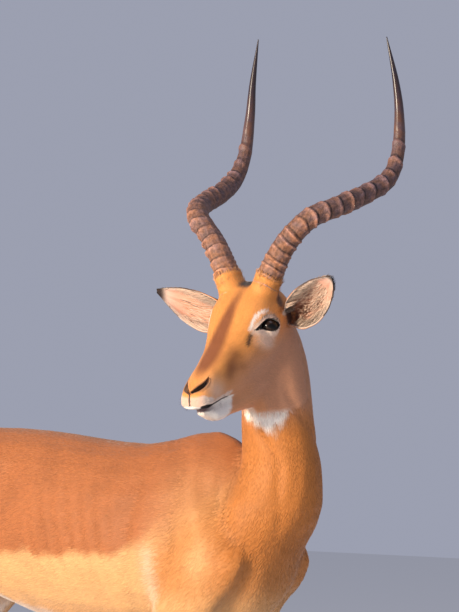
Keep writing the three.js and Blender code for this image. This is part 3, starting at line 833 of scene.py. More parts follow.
RUFOUS = shade(167, 99, 54)
FLANK = shade(212, 160, 106)
NECK_TAN = shade(189, 115, 50)
FACE_TAN = shade(226, 148, 74)
BRIDGE = shade(128, 70, 38)
CHEEK = shade(198, 140, 106)
PALE = shade(228, 206, 190)
WHITE = shade(244, 234, 224)
LEG_TAN = shade(208, 146, 90)
DARK = shade(52, 38, 34)
BLACK = shade(24, 18, 17)
FLESH_PINK = shade(214, 158, 134)
LIP_EDGE = shade(96, 70, 72)
NOSTRIL_RIM = shade(96, 62, 46)
EAR_ROOT = shade(146, 94, 72)
EAR_CANAL_SHADE = shade(92, 58, 46)
BIB_MIDDLE = math.radians(-58)  # the way the bib faces
BIB_LOW = 889
BIB_HIGH = 930
HIDE_GRAIN = 420  # streaks of hair to a metre
HIDE_DEPTH = 0.0012
LIP_HEIGHT = [
    # the line between upper and lower lip: behind the brow, and up
    (-170, -209), (-148, -210), (-130, -208), (-108, -199), (-86, -193), (-40, -184),
]


def all_over(colour, count):
    """One colour for each of a count of points."""
    return np.repeat(colour[None], count, 0)


def blend(colour, *layers):
    """A colour with others laid over it in turn, each given with its weight at each point."""
    for other, weight in layers:
        colour = colour + (other - colour) * np.clip(weight, 0, 1)[:, None]
    return colour


def body_marks(b, normals):
    """Saddle, flank, belly, legs, rump and tail by height and place along the body."""
    x, y, z = b.T
    wave = 4 * np.sin(x / 23) + 3 * np.sin(x / 9 + 1)
    saddle = through(
        x, (-740, 640), (-560, 650), (-360, 665), (-165, 669), (-46, 692), (30, 727), (110, 768),
    )
    over = ease(-1, 1, (z - saddle + wave) / (9 + 34 * ease(-90, 10, x)))
    elbow_patch = hump(np.hypot((x - 78) / 26, (z - 664) / 34), 0, 1)
    colour = blend(
        all_over(FLANK, len(b)),
        (RUFOUS, over * (1 - 0.35 * ease(-60, 40, x) * ease(860, 760, z))),
        (NECK_TAN, ease(-44, 0, x) * ease(560, 640, z) * (1 - over) * 0.75),
        # painted highlight: a pale streak down the rear edge of the upper arm
        (PALE * 1.05, hump(x, -32, 13) * ease(700, 670, z) * ease(540, 600, z) * 0.32),
        (FLANK, elbow_patch * 0.8),
        (NECK_TAN, ease(84, 140, x) * ease(600, 700, z)),
    )
    blotch = np.sin(x / 21 + 1.3 * np.sin(z / 34)) * np.sin(z / 27 + 1.1 * np.sin(x / 43))
    colour = colour * (1 - 0.09 * ease(-0.1, 0.9, blotch) * (z > 560))[:, None]

    # white belly, then tan legs with white insides and black glands over the hind hooves
    belly = through(x, (-740, 556), (-420, 584), (-340, 566), (-120, 542), (60, 536), (180, 560))
    under = ease(10, -12, z - belly + wave) * ease(0.55, -0.1, normals[:, 2] + 0.25)
    inner = ease(0.1, 0.6, -normals[:, 1] * np.sign(y)) * ease(600, 540, z)
    gland = hump(z, 158, 34) * ease(0.25, -0.2, normals[:, 0]) * (x < -350)
    colour = blend(
        colour,
        (WHITE, under * ease(-500, -440, x)),
        (LEG_TAN, ease(590, 540, z) * ease(0.1, 0.6, np.abs(normals[:, 1]))),
        (WHITE, inner * ease(150, 420, z) * 0.85),
        (LEG_TAN, ease(400, 300, z) * 0.7),
        (PALE, ease(0.2, 0.8, normals[:, 0]) * ease(360, 250, z) * ease(60, 120, z) * 0.4),
        (BLACK, 1.6 * gland - 0.2),
        (DARK, ease(58, 44, z)),
    )

    # white seat between two black stripes, and a black line down the rump and the white tail
    seat = ease(-640, -690, x) * (z > 520)
    stripe = hump(np.abs(y), 56 - 0.1 * (800 - z), 9) * ease(-600, -660, x)
    tail = ease(-728, -736, x) * (z < 770)
    return blend(
        colour,
        (WHITE, seat * ease(62, 40, np.abs(y)) * ease(800, 770, z)),
        (BLACK, 1.4 * stripe * ease(830, 790, z) * ease(560, 610, z)),
        (WHITE, tail),
        (BLACK, tail * ease(0.1, -0.5, normals[:, 0]) * ease(15, 9, np.abs(y))),
        (BLACK, hump(y, 0, 9) * ease(-560, -640, x) * ease(830, 850, z) * 0.8),
    )


def neck_marks(b, colour):
    """Painted shade of the cheek's tone round the front and right side of the upper neck, and the white bib where the
    throat meets the neck.
    """
    around = np.arctan2(b[:, 1] + 10, b[:, 0] - 164)
    off = np.degrees(np.angle(np.exp(1j * (around - BIB_MIDDLE))))
    low = BIB_LOW + 0.42 * np.maximum(-off, 0) + 1.1 * np.maximum(off, 0) + 2.5 * np.sin(off / 4)
    bib = ease(-7, 7, b[:, 2] - low) * (b[:, 0] > 60) * (b[:, 2] <= BIB_HIGH)
    return blend(
        colour,
        # painted shade: the cheek's greyer tone over the upper neck, under the head
        (CHEEK, ease(885, 960, b[:, 2]) * (b[:, 0] > 60) * ease(135, 85, np.abs(off)) * 0.75),
        (WHITE, bib * ease(-76, -62, off) * ease(38, 28, off)),
    )


def eye_marks(h, colour):
    """Pale ring and streak, painted shade in the upper lid's fold, a dark dash and black lids, by place round the
    left eye.
    """
    q = in_eye(1, folded(h))
    near = (q[:, 1] > 0) * 1.0
    facing = ease(-2, 12, q[:, 1])
    off = off_almond(q)
    beneath = np.hypot((q[:, 0] - 6) / 34, (q[:, 2] + 20) / 24)
    flat = q * [1, 0, 1]
    away, along = off_line(flat, [(42, 0, -6), (36, 0, 4), (28, 0, 15), (17, 0, 22), (5, 0, 25)])
    brow = ease(1.6, 0.4, away / through(along, (0, 2.4), (0.4, 3.2), (1, 1.4)))
    crease, _ = off_line(flat, [(17, 0, 14), (7, 0, 18.5), (-5, 0, 17), (-13, 0, 11)])
    dash, _ = off_line(flat, [(42, 0, -17), (44, 0, -23), (45, 0, -30)])
    return blend(
        colour,
        (PALE, near * facing * ease(12, 4, off) * 0.7),
        (PALE, facing * ease(1.25, 0.2, beneath) * 0.6),
        (WHITE, near * brow * 0.9),
        # painted shade in the fold over the upper lid
        (DARK, near * ease(2.6, 0.8, crease) * 0.55),
        (DARK, near * hump(dash, 0, 4.2) * 0.95),
        (BLACK, near * ease(1.9, 0.8, off)),
    )


def mouth_marks(h, colour):
    """Pale upper lip, pink nose pad, white chin, the lips' inner edge, and painted shade in the nostrils, cleft and
    gape.
    """
    out = np.abs(h[:, 1])
    station, height = along_face(h)
    mouth, along = mouth_at(h)
    above = h[:, 2] > through(-h[:, 0], *LIP_HEIGHT)
    ragged = 1.6 * np.sin(h[:, 0] / 2.3) + 1.2 * np.sin(h[:, 2] / 1.7)
    lip_tone = blend(all_over(PALE, len(h)), (FLESH_PINK, ease(150, 166, h[:, 0]) * 0.6))
    lips = above * ease(12, 7, mouth + ragged * 0.5 - 8 * ease(0.6, 0.2, along)) * ease(78, 88, h[:, 0])
    pad = ease(168, 176, h[:, 0] + 0.25 * (h[:, 2] + 200))
    side_of_nose = hump(np.linalg.norm(folded(h) - [128, 28, -184], axis=1), 0, 20)
    chin = ~above * ease(70, 80, h[:, 0] + ragged + 0.25 * (h[:, 2] + 205))
    under = ease(16, 8, out) * ease(60, 90, station) * ease(14, 4, height - jaw_line(station))
    inner_lip = ~above * ease(12, 8, mouth) * hump(along, 0.35, 0.25)
    comma = nostril_at(h)
    cleft = ease(2.4, 0.9, out) * (h[:, 0] > 150) * above * ease(-184, -187, h[:, 2])
    gape = ease(1.9, 1.2, mouth / through(along, *MOUTH_HALF)) * (h[:, 0] > MOUTH_CORNER[0] - 4)
    return blend(
        colour,
        (lip_tone, lips * 0.9),
        (PALE, pad * 0.6),
        (PALE, above * side_of_nose * 0.45),
        (WHITE, chin),
        (PALE, under * 0.8),
        (LIP_EDGE, inner_lip * 1.2),
        (NOSTRIL_RIM, hump(comma, 1.9, 0.5) * 0.6),
        # painted shade: black in the pits of the nostrils and the opening of the mouth, dark in the cleft of the lip
        (BLACK, ease(1.75, 1.35, comma)),
        (DARK, cleft),
        (BLACK, gape),
    )


def face_marks(h):
    """Bridge, cheeks, eyes, crown, mouth and nostrils, by place on the head."""
    station, height = along_face(h)
    out = np.abs(h[:, 1])
    top = ease(0, 20, height)
    half = through(station, (20, 5), (70, 7), (110, 12), (170, 15), (215, 8))
    streak = ease(half + 9, half - 6, out) * top
    streak = streak * through(station, (4, 0), (40, 0.5), (85, 1), (190, 1), (226, 0))
    nose_side, _ = off_line(folded(h), [(84, 32, -126), (92, 32, -142), (96, 32, -156)])
    nose_cheek, _ = off_line(folded(h), [(92, 34, -146), (66, 42, -146)])
    colour = blend(
        all_over(FACE_TAN, len(h)),
        (CHEEK, ease(24, -30, height) * 0.75 + ease(26, 44, out) * ease(40, 10, height) * 0.5),
        (BRIDGE, streak * 0.92),
        (BRIDGE * 0.75, hump(nose_side, 0, 13) * 0.65),
        (BRIDGE, hump(nose_cheek, 0, 9) * 0.45),
    )
    behind_horn = np.hypot((h[:, 0] + 16) / 9, (h[:, 2] + 39) / 13)
    colour = blend(
        eye_marks(h, colour),
        (DARK, ease(1.5, 0.5, behind_horn) * (out > 25) * 0.85),
        (DARK, ease(17, 8, out) * ease(-3, 9, station) * ease(36, 22, station) * top),
    )
    return mouth_marks(h, colour)


def ear_marks(side, h, colour):
    """Tan backs with black tips, and a white inner face that shows some pink towards the root."""
    root = ear_axes(side)[0]
    share, angle, depth = in_ear(side, h)
    held = np.clip(share, 0, 1)
    wrap = through(held, *EAR_WRAP)
    off = np.abs(angle) / wrap
    on_ear = (share > 0.02) & (share < 1.1) & (np.abs(angle) < wrap + 0.5) & (depth > -4) & (depth < 9)
    inner = depth > ear_thick(held) / 2
    on_ear &= (np.linalg.norm(h - root, axis=1) > 24) | (inner & (share > 0.05))
    bare = ease(0.95, 0.6, off) * ease(1.0, 0.75, share)
    cup = blend(
        all_over(PALE * 0.85, len(h)),
        (FLESH_PINK, bare),
        (BRIDGE, bare * ease(0.2, 0.8, np.cos(angle / wrap * 3 * math.pi)) * 0.3),
        (EAR_ROOT, ease(0.34, 0.12, share) * ease(0.9, 0.5, off) * 0.9),
        (DARK, ease(0.88, 0.96, share)),
    )
    leaf = np.where(inner[:, None], cup, blend(all_over(NECK_TAN, len(h)), (DARK, ease(0.8, 0.93, share))))
    leaf = blend(leaf, (DARK, ease(0.9, 1.0, off) * ease(0.35, 0.6, share) * (h[:, 2] > root[2])))
    # painted shade: the opening of the ear's tube, at its root, is darkened
    canal = np.linalg.norm(h - ear_point(side, np.array(0.06), np.array(0.0), np.array(0.0)), axis=1)
    colour = blend(np.where(on_ear[:, None], leaf, colour), (EAR_CANAL_SHADE, ease(17, 9, canal)))
    return colour, on_ear, inner & on_ear


skin_normals = normals_of(skin_points, skin_faces)
h = in_head(skin_points)
b = in_body(skin_points)
on_head = head_share(h) * (b[:, 2] > 850) * (b[:, 0] > 0)
marks = neck_marks(b, body_marks(b, skin_normals))
marks = marks + (face_marks(h) - marks) * on_head[:, None]
ear_part, cup_part = np.zeros(len(h), bool), np.zeros(len(h), bool)
for side in EAR_FORMS:
    marks, leaf, cup = ear_marks(side, h, marks)
    ear_part |= leaf
    cup_part |= cup


def paint(mesh, name, colours):
    """A colour for each vertex, kept as an attribute of the mesh."""
    layer = mesh.attributes.new(name, "FLOAT_COLOR", "POINT")
    layer.data.foreach_set("color", np.c_[colours, np.ones(len(colours))].astype(np.float32).ravel())


def new_material(name, **values):
    """A material with values for its surface's own sockets, whose spaces are written as underscores."""
    material = bpy.data.materials.new(name)
    material.use_nodes = True
    surface = material.node_tree.nodes["Principled BSDF"]
    for socket, value in values.items():
        surface.inputs[socket.replace("_", " ")].default_value = value
    return material, surface


def add_node(material, kind, inputs=(), **settings):
    """A shader node with its settings, and for its input sockets a value or the output that feeds them.

    Sockets are given by name, or by number where names repeat: 2 and 3 are the two numbers that a Mix node
    mixes, and 6 and 7 its two colours, which come out at 0 and 2."""
    made = material.node_tree.nodes.new("ShaderNode" + kind)
    for setting, value in settings.items():
        setattr(made, setting, value)
    for socket, value in dict(inputs).items():
        if isinstance(value, bpy.types.NodeSocket):
            material.node_tree.links.new(value, made.inputs[socket])
        else:
            made.inputs[socket].default_value = value
    return made


def feed(material, output, surface, socket):
    """An output that drives one socket of the surface."""
    material.node_tree.links.new(output, surface.inputs[socket])


def hide_material():
    """Short hair: the painted colour, mottled by noise, with fine streaks raised by a bump."""
    material, surface = new_material(
        "hide", Roughness=0.62, Sheen_Weight=0.25, Sheen_Roughness=0.45, Specular_IOR_Level=0.35,
    )
    painted = add_node(material, "Attribute", attribute_name="marking")
    place = add_node(material, "TexCoord").outputs["Object"]
    mottle = add_node(material, "TexNoise", {"Vector": place, "Scale": 26, "Detail": 4})
    tone = add_node(material, "MapRange", {"Value": mottle.outputs["Fac"], "To Min": 0.84, "To Max": 1.14})
    tinted = add_node(
        material, "Mix", {"Factor": 1, 6: painted.outputs["Color"], 7: tone.outputs["Result"]},
        data_type="RGBA", blend_type="MULTIPLY",
    )
    feed(material, tinted.outputs[2], surface, "Base Color")
    stretch = add_node(material, "Mapping", {"Vector": place, "Scale": (HIDE_GRAIN,) * 3})
    streaks = add_node(material, "TexNoise", {"Vector": stretch.outputs["Vector"], "Scale": 1, "Detail": 3})
    bump = add_node(
        material, "Bump", {"Height": streaks.outputs["Fac"], "Strength": 0.5, "Distance": HIDE_DEPTH},
    )
    feed(material, bump.outputs["Normal"], surface, "Normal")
    return material


def placed(name, mesh, material, slot, *nodes):
    """An object in the scene that rides the animal and stands for the named CAD nodes."""
    mesh.materials.append(material)
    piece = in_scene(name, mesh)
    if nodes:
        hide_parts(*nodes)
    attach(piece, "root")
    return piece


skin_mesh = make_mesh("skin", skin_points, skin_faces)
paint(skin_mesh, "marking", marks)
skin = placed("skin", skin_mesh, hide_material(), "coat_tan", *FLESH, *EARS)
bpy.context.view_layer.objects.active = skin
skin.select_set(True)
skin_mesh.uv_layers.new(name="OFBake")
bpy.ops.object.mode_set(mode="EDIT")
bpy.ops.mesh.select_all(action="SELECT")
bpy.ops.uv.smart_project(angle_limit=math.radians(66), margin_method="ADD", island_margin=0.0006)
bpy.ops.object.mode_set(mode="OBJECT")
skin_uv = read(skin_mesh.uv_layers["OFBake"].data, "uv", 2, np.float32).reshape(-1, 3, 2)

# ---- The eyes -------------------------------------------------------------------------------------------
# Dark wet balls with a bulging cornea, a deep brown iris and a level oblong pupil. Short lashes stand on
# the upper lids.
CORNEA = 2.2  # how far the middle of the cornea stands out of the ball
CORNEA_EDGE = math.radians(40)
EYE_FLESH = shade(20, 15, 15)
IRIS = shade(44, 26, 16)
PUPIL = shade(6, 5, 5)


def eye_mesh(side):
    """A ball on rings about the way the eye looks, with its front swelled into the cornea."""
    tilt = np.linspace(0.02, math.pi - 0.02, 72)[:, None]
    turn = np.linspace(0, 2 * math.pi, 96, endpoint=False)[None, :]
    swell = CORNEA * np.maximum(1 - (tilt / CORNEA_EDGE) ** 2, 0) ** 1.5
    radius = EYE_RADIUS - 0.1 + swell
    ahead, up = radius * np.sin(tilt) * np.cos(turn), radius * np.sin(tilt) * np.sin(turn)
    q = np.stack([ahead, radius * np.cos(tilt) + 0 * turn, up], -1)
    mesh = tube("eye", from_eye(side, q.reshape(-1, 3)).reshape(q.shape))
    q = in_eye(side, in_head(places_of(mesh)))
    away = np.hypot(q[:, 0], q[:, 2])
    spoke = 0.75 + 0.25 * np.sin(34 * np.arctan2(q[:, 2], q[:, 0])) * np.sin(9 * away)
    iris = ease(12.5, 10.5, away) * (q[:, 1] > 0) * spoke
    pupil = ease(1.08, 0.95, np.hypot(q[:, 0] / 8.2, q[:, 2] / 4.6)) * (q[:, 1] > 0)
    paint(mesh, "marking", blend(all_over(EYE_FLESH, len(q)), (IRIS, iris), (PUPIL, pupil)))
    return mesh


def painted_material(name, **values):
    """A surface in its painted colour, with values for its own sockets."""
    material, surface = new_material(name, **values)
    painted = add_node(material, "Attribute", attribute_name="marking")
    feed(material, painted.outputs["Color"], surface, "Base Color")
    return material


wet = painted_material(
    "wet_eye", Roughness=0.3, Specular_IOR_Level=0.05, Coat_Weight=0.4, Coat_Roughness=0.02,
)
for name, side in (("left", 1), ("right", -1)):
    placed("eye_ball_" + name, eye_mesh(side), wet, "eye", "eye_" + name)

# ---- The horns --------------------------------------------------------------------------------------------
# A lyre of two ringed horns with smooth points. Some twenty crescent ridges cross the front of each, close
# together at the root and wide apart above, and fade towards the back.
RINGED = 0.72
RING_STEPS = [(0, 12), (0.14, 19), (1, 32)]  # spacing of the ridges from the root to the last one
RING_STRENGTH = [(0, 0.8), (0.06, 0.9), (0.25, 1.1), (0.6, 1), (0.7, 0.55), (0.77, 0), (1, 0)]
RING_SPREAD = (0.68, 1.3)  # least and most of a step, as a share
RING_TURN = 0.6  # the ridges are highest this far round from the front, in radians
RING_HEIGHT = 2.6
HORN_ROOT_TONE = shade(152, 108, 82)
HORN_TONE = shade(99, 72, 65)
HORN_POINT_TONE = shade(50, 40, 44)
HORN_BROWN = (1.12, 0.99, 0.8, 1)  # tints of the patches
HORN_GREY = (0.88, 0.95, 1.16, 1)


def horn_mesh(name, side, seed):
    """Ovals along the line, swelled by ridges: a wave with narrow crests, high in front, low behind."""
    rows, around = 460, 44
    line, along, length = horn_line(rows)
    share = np.linspace(0, 1, rows)
    rng = np.random.default_rng(seed)
    crests = [-6.0]
    while crests[-1] < RINGED * length:
        reached = max(crests[-1], 0) / (RINGED * length)
        crests.append(crests[-1] + through(reached, *RING_STEPS) * rng.uniform(*RING_SPREAD))
    turn = np.linspace(0, 2 * math.pi, around, endpoint=False)[None, :]
    front = (1 + np.cos(turn + RING_TURN)) / 2

    # each ridge bows towards the point in front, and its steep side faces the point
    bow = 9 * front * through(share, (0, 0.8), (0.3, 1.2), (1, 0.6))[:, None] + 2.5 * np.sin(turn + RING_TURN)
    bow = bow + 1.3 * np.sin(3 * turn + seed) * np.sin(share * 31)[:, None]
    phase = np.interp((share * length)[:, None] - bow, crests, np.arange(len(crests)))
    off = phase - np.round(phase)
    crest = np.where(off > 0, hump(off, 0, 0.085), hump(off, 0, 0.2))
    groove = hump(off, 0.17, 0.07)
    uneven = 1 + 0.4 * np.sin(np.round(phase) * 2.3 + seed) + 0.15 * np.sin(3 * turn + np.round(phase))
    strength = through(share, *RING_STRENGTH)[:, None]
    ridge = crest * strength * (0.12 + 0.88 * front**1.1) * uneven
    cut = groove * strength * front

    # fine rings crowd the back of the root, and faint lines and flutes run round and along the horn
    crowd = ease(0.22, 0.1, share)[:, None] * (1 - front) ** 0.5 * np.cos(share * length * 0.72)[:, None]
    lines = 0.14 * np.sin((share * length)[:, None] * 2.1 + np.sin(turn * 2)) * strength
    flutes = 0.02 * np.sin(11 * turn + 2.5 * np.sin(share * 13)[:, None]) + 0.012 * np.sin(23 * turn + phase)
    base = HORN_RADIUS * through(share, *HORN_WIDTH)[:, None]
    reach = base * (1 + flutes * (0.25 + 0.75 * strength)) + lines + 0.5 * crowd
    reach = np.maximum(reach + RING_HEIGHT * (ridge - 0.2 * cut - 0.12 * strength), 0.3)
    mesh = tube(name, from_head(horn_ring(line, along, turn, reach, side)))

    # pale at the root and dark at the point; the ridges and flutes are lighter on their crests, as painted
    # highlight, and darker in their grooves, as painted shade
    tone = through(share, (0, 0), (0.2, 0.7), (0.6, 1), (1, 1))
    colour = all_over(HORN_ROOT_TONE, rows)
    colour = blend(colour, (HORN_TONE, tone), (HORN_POINT_TONE, ease(0.68, 0.9, share)))
    painted_relief_light = (0.9 * ridge - 0.75 * cut + 3.5 * flutes * strength + 0.1 * crowd)[..., None]
    colour = colour[:, None] * np.maximum(1 + painted_relief_light, 0.15)
    ends = np.stack([colour[0].mean(0), colour[-1].mean(0)])
    paint(mesh, "marking", np.concatenate([colour.reshape(-1, 3), ends]))
    rough = np.concatenate([np.repeat(strength[:, 0], around), [1, 0]])
    layer = mesh.attributes.new("rough", "FLOAT", "POINT")
    layer.data.foreach_set("value", rough.astype(np.float32))
    return mesh


def horn_material():
    """Keratin: cracked and flaky where it is ringed, smooth and glossy towards the point."""
    material, surface = new_material("horn_keratin", Specular_IOR_Level=0.4)
    place = add_node(material, "TexCoord").outputs["Object"]
    cracks = add_node(material, "TexNoise", {"Vector": place, "Scale": 170, "Detail": 6, "Roughness": 0.65})
    rough = add_node(material, "Attribute", attribute_name="rough").outputs["Fac"]
    gloss = add_node(material, "MapRange", {"Value": rough, "To Min": 0.27, "To Max": 0.6})
    feed(material, gloss.outputs["Result"], surface, "Roughness")
    flake = add_node(material, "MapRange", {
        "Value": cracks.outputs["Fac"], "From Min": 0.3, "From Max": 0.7, "To Min": 0.45, "To Max": 1.75,
    })
    amount = add_node(material, "Mix", {"Factor": rough, 2: 1.0, 3: flake.outputs["Result"]})

    # brown and grey patches over the painted tone, darkened and lightened by the flakes
    patches = add_node(material, "TexNoise", {"Vector": place, "Scale": 75, "Detail": 3})
    steep = add_node(
        material, "MapRange", {"Value": patches.outputs["Fac"], "From Min": 0.38, "From Max": 0.62},
    )
    stain = add_node(
        material, "Mix", {"Factor": steep.outputs["Result"], 6: HORN_BROWN, 7: HORN_GREY}, data_type="RGBA",
    )
    painted = add_node(material, "Attribute", attribute_name="marking")
    stained = add_node(
        material, "VectorMath", {0: painted.outputs["Vector"], 1: stain.outputs[2]}, operation="MULTIPLY",
    )
    tinted = add_node(
        material, "VectorMath", {0: stained.outputs["Vector"], "Scale": amount.outputs[0]}, operation="SCALE",
    )
    feed(material, tinted.outputs["Vector"], surface, "Base Color")
    relief = add_node(material, "Math", {0: cracks.outputs["Fac"], 1: rough}, operation="MULTIPLY")
    bump = add_node(material, "Bump", {"Height": relief.outputs["Value"], "Strength": 0.7, "Distance": 0.003})
    feed(material, bump.outputs["Normal"], surface, "Normal")
    return material


keratin = horn_material()
placed("horn_ringed_left", horn_mesh("horn_left", 1, 3), keratin, "horn", "horn_left")
placed("horn_ringed_right", horn_mesh("horn_right", -1, 8), keratin, "horn", "horn_right")

# ---- The hooves -------------------------------------------------------------------------------------------
# Two narrow black claws to a foot, flat below, cut back from a sharp toe to a low heel, with faint rings of
# growth round their walls.
HOOF_TOP = 40
HOOF_LENGTH = 58
HOOF_GAP = 3  # between the two claws
CLAW_HALF = 10
CLAW_EDGE = [(0, 0.93), (0.05, 0.985), (0.12, 1), (1, 0.99), (1.1, 0.9)]  # outline by share of the height
HEEL_BEHIND = 22
TOE_SLANT = 0.36  # share of the length lost at the top
TOE_POINT = 0.55  # share of the width lost at the toe
PASTERN_LEAN = 0.5
HOOF_TONE = shade(38, 32, 31)
HOOF_EDGE_TONE = shade(66, 54, 48)


def claw_mesh(node, centre):
    """Level ovals drawn to a point at the toe, shorter as they rise to the leaning top of the hoof."""
    low = np.array(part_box(node)[0]) * MM
    rim, inner = low[0] + HEEL_BEHIND, np.sign(middle(node)[1] * MM - centre)
    share = np.concatenate([[0, 0.015, 0.05], np.linspace(0.1, 1.1, 30)])[:, None]
    turn = np.linspace(0, 2 * math.pi, 60, endpoint=False)[None, :]
    rings = 1 + 0.006 * np.sin(46 * share) * (share > 0.12)
    edge = through(share, *CLAW_EDGE) * rings
    length = HOOF_LENGTH * (1 - TOE_SLANT * share)
    half = CLAW_HALF * (1 - 0.12 * share)
    along = (1 - np.cos(turn)) / 2
    lost = half * TOE_POINT * along**2.5
    heel = rim - HEEL_BEHIND + 5 * share + length * (1 - edge) / 2
    x = heel + length * edge * along
    y = centre + inner * (half + HOOF_GAP / 2) + (half - lost) * edge * np.sin(turn) - inner * lost * 0.6
    z = low[2] + share * (HOOF_TOP + PASTERN_LEAN * (x - rim))
    mesh = tube(node, np.stack([x + 0 * z, y + 0 * z, z], -1) / MM)
    height = places_of(mesh)[:, 2] * MM
    paint(mesh, "marking", blend(all_over(HOOF_TONE, len(height)), (HOOF_EDGE_TONE, ease(8, 0, height))))
    return mesh


hoof_horn = painted_material(
    "hoof_horn", Roughness=0.34, Specular_IOR_Level=0.4, Coat_Weight=0.1, Coat_Roughness=0.02,
)
for foot in ("front_left", "front_right", "hind_left", "hind_right"):
    claws = [f"hoof_{foot}_inner", f"hoof_{foot}_outer"]
    centre = sum(middle(claw)[1] for claw in claws) / 2 * MM
    for claw in claws:
        placed("claw" + claw[4:], claw_mesh(claw, centre), hoof_horn, "hoof", claw)

# ---- The coat ---------------------------------------------------------------------------------------------
# Short flat hair: thin keeled tufts that lie along the body and overlap, smallest on the face and feet.
# Each tuft grows from the skin, follows it and ends within the depth of the coat.
TUFT_PATCH = 0.003  # width of a tuft's patch on the unwrapped skin
TUFT_TONES = np.array([0.86, 1.0, 1.12])  # darker at the root, lighter at the tip
TRUNK_AND_TAIL = ("coat_back", "coat_rump", "coat_shoulder", "tail_hair")  # pieces on the trunk and the tail
skin_tree = BVHTree.FromPolygons(skin_points.tolist(), skin_faces.tolist())
corner = skin_points[skin_faces]
face_area = np.linalg.norm(np.cross(corner[:, 1] - corner[:, 0], corner[:, 2] - corner[:, 0]), axis=1) / 2


def scattered(chosen, count, rng):
    """Random roots on the chosen faces, evenly by area: their faces and their shares of the corners."""
    reach = np.cumsum(face_area * chosen)
    face = np.searchsorted(reach, rng.uniform(0, reach[-1], count))
    a, c = rng.uniform(0, 1, (2, count))
    flip = a + c > 1
    a, c = np.where(flip, 1 - a, a), np.where(flip, 1 - c, c)
    return face, np.stack([1 - a - c, a, c], 1)


def at_roots(values, face, share):
    """Values of the vertices, mixed at the roots."""
    return (values[skin_faces[face]] * share[..., None]).sum(1)


def unit(vectors):
    """Vectors brought to length 1."""
    return vectors / np.maximum(np.linalg.norm(vectors, axis=1, keepdims=True), 1e-9)


def nearest(points):
    """The nearest places on the skin, and the skin's normals there."""
    found = [skin_tree.find_nearest(p) for p in points.tolist()]
    return np.array([f[0] for f in found]), np.array([f[1] for f in found])


def leaves(name, line, normal, width, keel, colour, spot):
    """One mesh of closed leaves: each is pointed at both ends and has a left edge, a right edge and a keel.

    line: places down the middle of each leaf (count, steps, 3), from root to tip.
    normal: the skin's normals at those places. colour: (count, steps, 3). spot: roots on the unwrap."""
    count, steps, _ = line.shape
    inner = steps - 2
    along = np.gradient(line, axis=1)
    side = np.cross(along, normal)
    side /= np.maximum(np.linalg.norm(side, axis=2, keepdims=True), 1e-12)
    taper = np.sin(np.linspace(0, math.pi, steps) ** 0.9 * math.pi**0.1)[1:-1][None, :, None]
    middle, edge = line[:, 1:-1], side[:, 1:-1] * width[:, None, None] / 2 * taper
    up = normal[:, 1:-1]
    rows = np.stack([middle - edge, middle + edge, middle + up * keel[:, None, None] * taper], 2)
    points = np.concatenate([line[:, :1], rows.reshape(count, -1, 3), line[:, -1:]], 1)
    lean = side[:, 1:-1] * 0.55
    facing = np.stack([up - lean, up + lean, up], 2).reshape(count, -1, 3)
    facing = np.concatenate([normal[:, :1], facing, normal[:, -1:]], 1)
    tip = 3 * inner + 1
    faces = [(0, 2, 3), (0, 3, 1), (0, 1, 2)]
    for k in range(inner - 1):
        for a, b in ((1, 2), (2, 3), (3, 1)):
            a, b = a + 3 * k, b + 3 * k
            faces += [(a, b + 3, b), (a, a + 3, b + 3)]
    a, b, c = (3 * (inner - 1) + k for k in (1, 2, 3))
    faces += [(tip, c, b), (tip, a, c), (tip, b, a)]
    faces = np.array(faces)
    whole = (faces[None] + (np.arange(count) * (tip + 1))[:, None, None]).reshape(-1, 3)
    mesh = bpy.data.meshes.new(name)
    mesh.vertices.add(points.shape[0] * points.shape[1])
    mesh.vertices.foreach_set("co", points.astype(np.float32).ravel())
    mesh.loops.add(whole.size)
    mesh.loops.foreach_set("vertex_index", whole.astype(np.int32).ravel())
    mesh.polygons.add(len(whole))
    mesh.polygons.foreach_set("loop_start", np.arange(0, whole.size, 3, dtype=np.int32))
    mesh.update()
    mesh.shade_smooth()
    shares = np.concatenate([[0], np.repeat(np.linspace(0, 1, steps)[1:-1], 3), [1]])
    sides = np.concatenate([[0], np.tile([-1, 1, 0], inner), [0]])
    corner_of = faces.ravel()
    patch = np.stack([sides[corner_of] / 2, shares[corner_of] - 0.5], 1) * TUFT_PATCH
    uv = mesh.uv_layers.new(name="OFBake")
    uv.data.foreach_set("uv", (spot[:, None] + patch[None]).astype(np.float32).ravel())
    tone = np.concatenate([colour[:, :1], np.repeat(colour[:, 1:-1], 3, axis=1), colour[:, -1:]], 1)
    paint(mesh, "marking", tone.reshape(-1, 3))
    mesh.normals_split_custom_set_from_vertices(unit(facing.reshape(-1, 3)).astype(np.float32))
    return placed(name, mesh, fur, "coat_rufous" if name in TRUNK_AND_TAIL else "coat_tan")


def tufts(name, chosen, count, length, width, lift, keel, seed):
    """Tufts on the chosen faces. They lie the way the hair does, turned a little at random."""
    rng = np.random.default_rng(seed)
    face, share = scattered(chosen, count, rng)
    root, normal = at_roots(skin_points, face, share), unit(at_roots(skin_normals, face, share))
    way = at_roots(lie, face, share) + rng.normal(0, 0.13, (count, 3))
    way = unit(way - (way * normal).sum(1, keepdims=True) * normal)
    long = length * rng.uniform(0.7, 1.15, count)
    tip, tip_normal = nearest(root + way * long[:, None])
    tip_normal = unit(tip_normal + normal)
    raised = lift * rng.uniform(0.35, 1, count)
    middle = (root + tip) / 2 - way * long[:, None] * 0.08 + normal * (lift * 0.25)
    line = np.stack([root - normal * lift * 0.3, middle, tip + tip_normal * raised[:, None]], 1)
    base = at_roots(marks, face, share) * rng.uniform(0.88, 1.1, (count, 1))
    base = base * rng.uniform(0.98, 1.02, (count, 3))
    colour = base[:, None] * TUFT_TONES[None, :, None]
    spot = (skin_uv[face] * share[..., None]).sum(1)
    wide = width * rng.uniform(0.75, 1.2, count)
    normals = np.stack([normal, normal, tip_normal], 1)
    return leaves(name, line, normals, wide, np.full(count, keel), colour, spot)


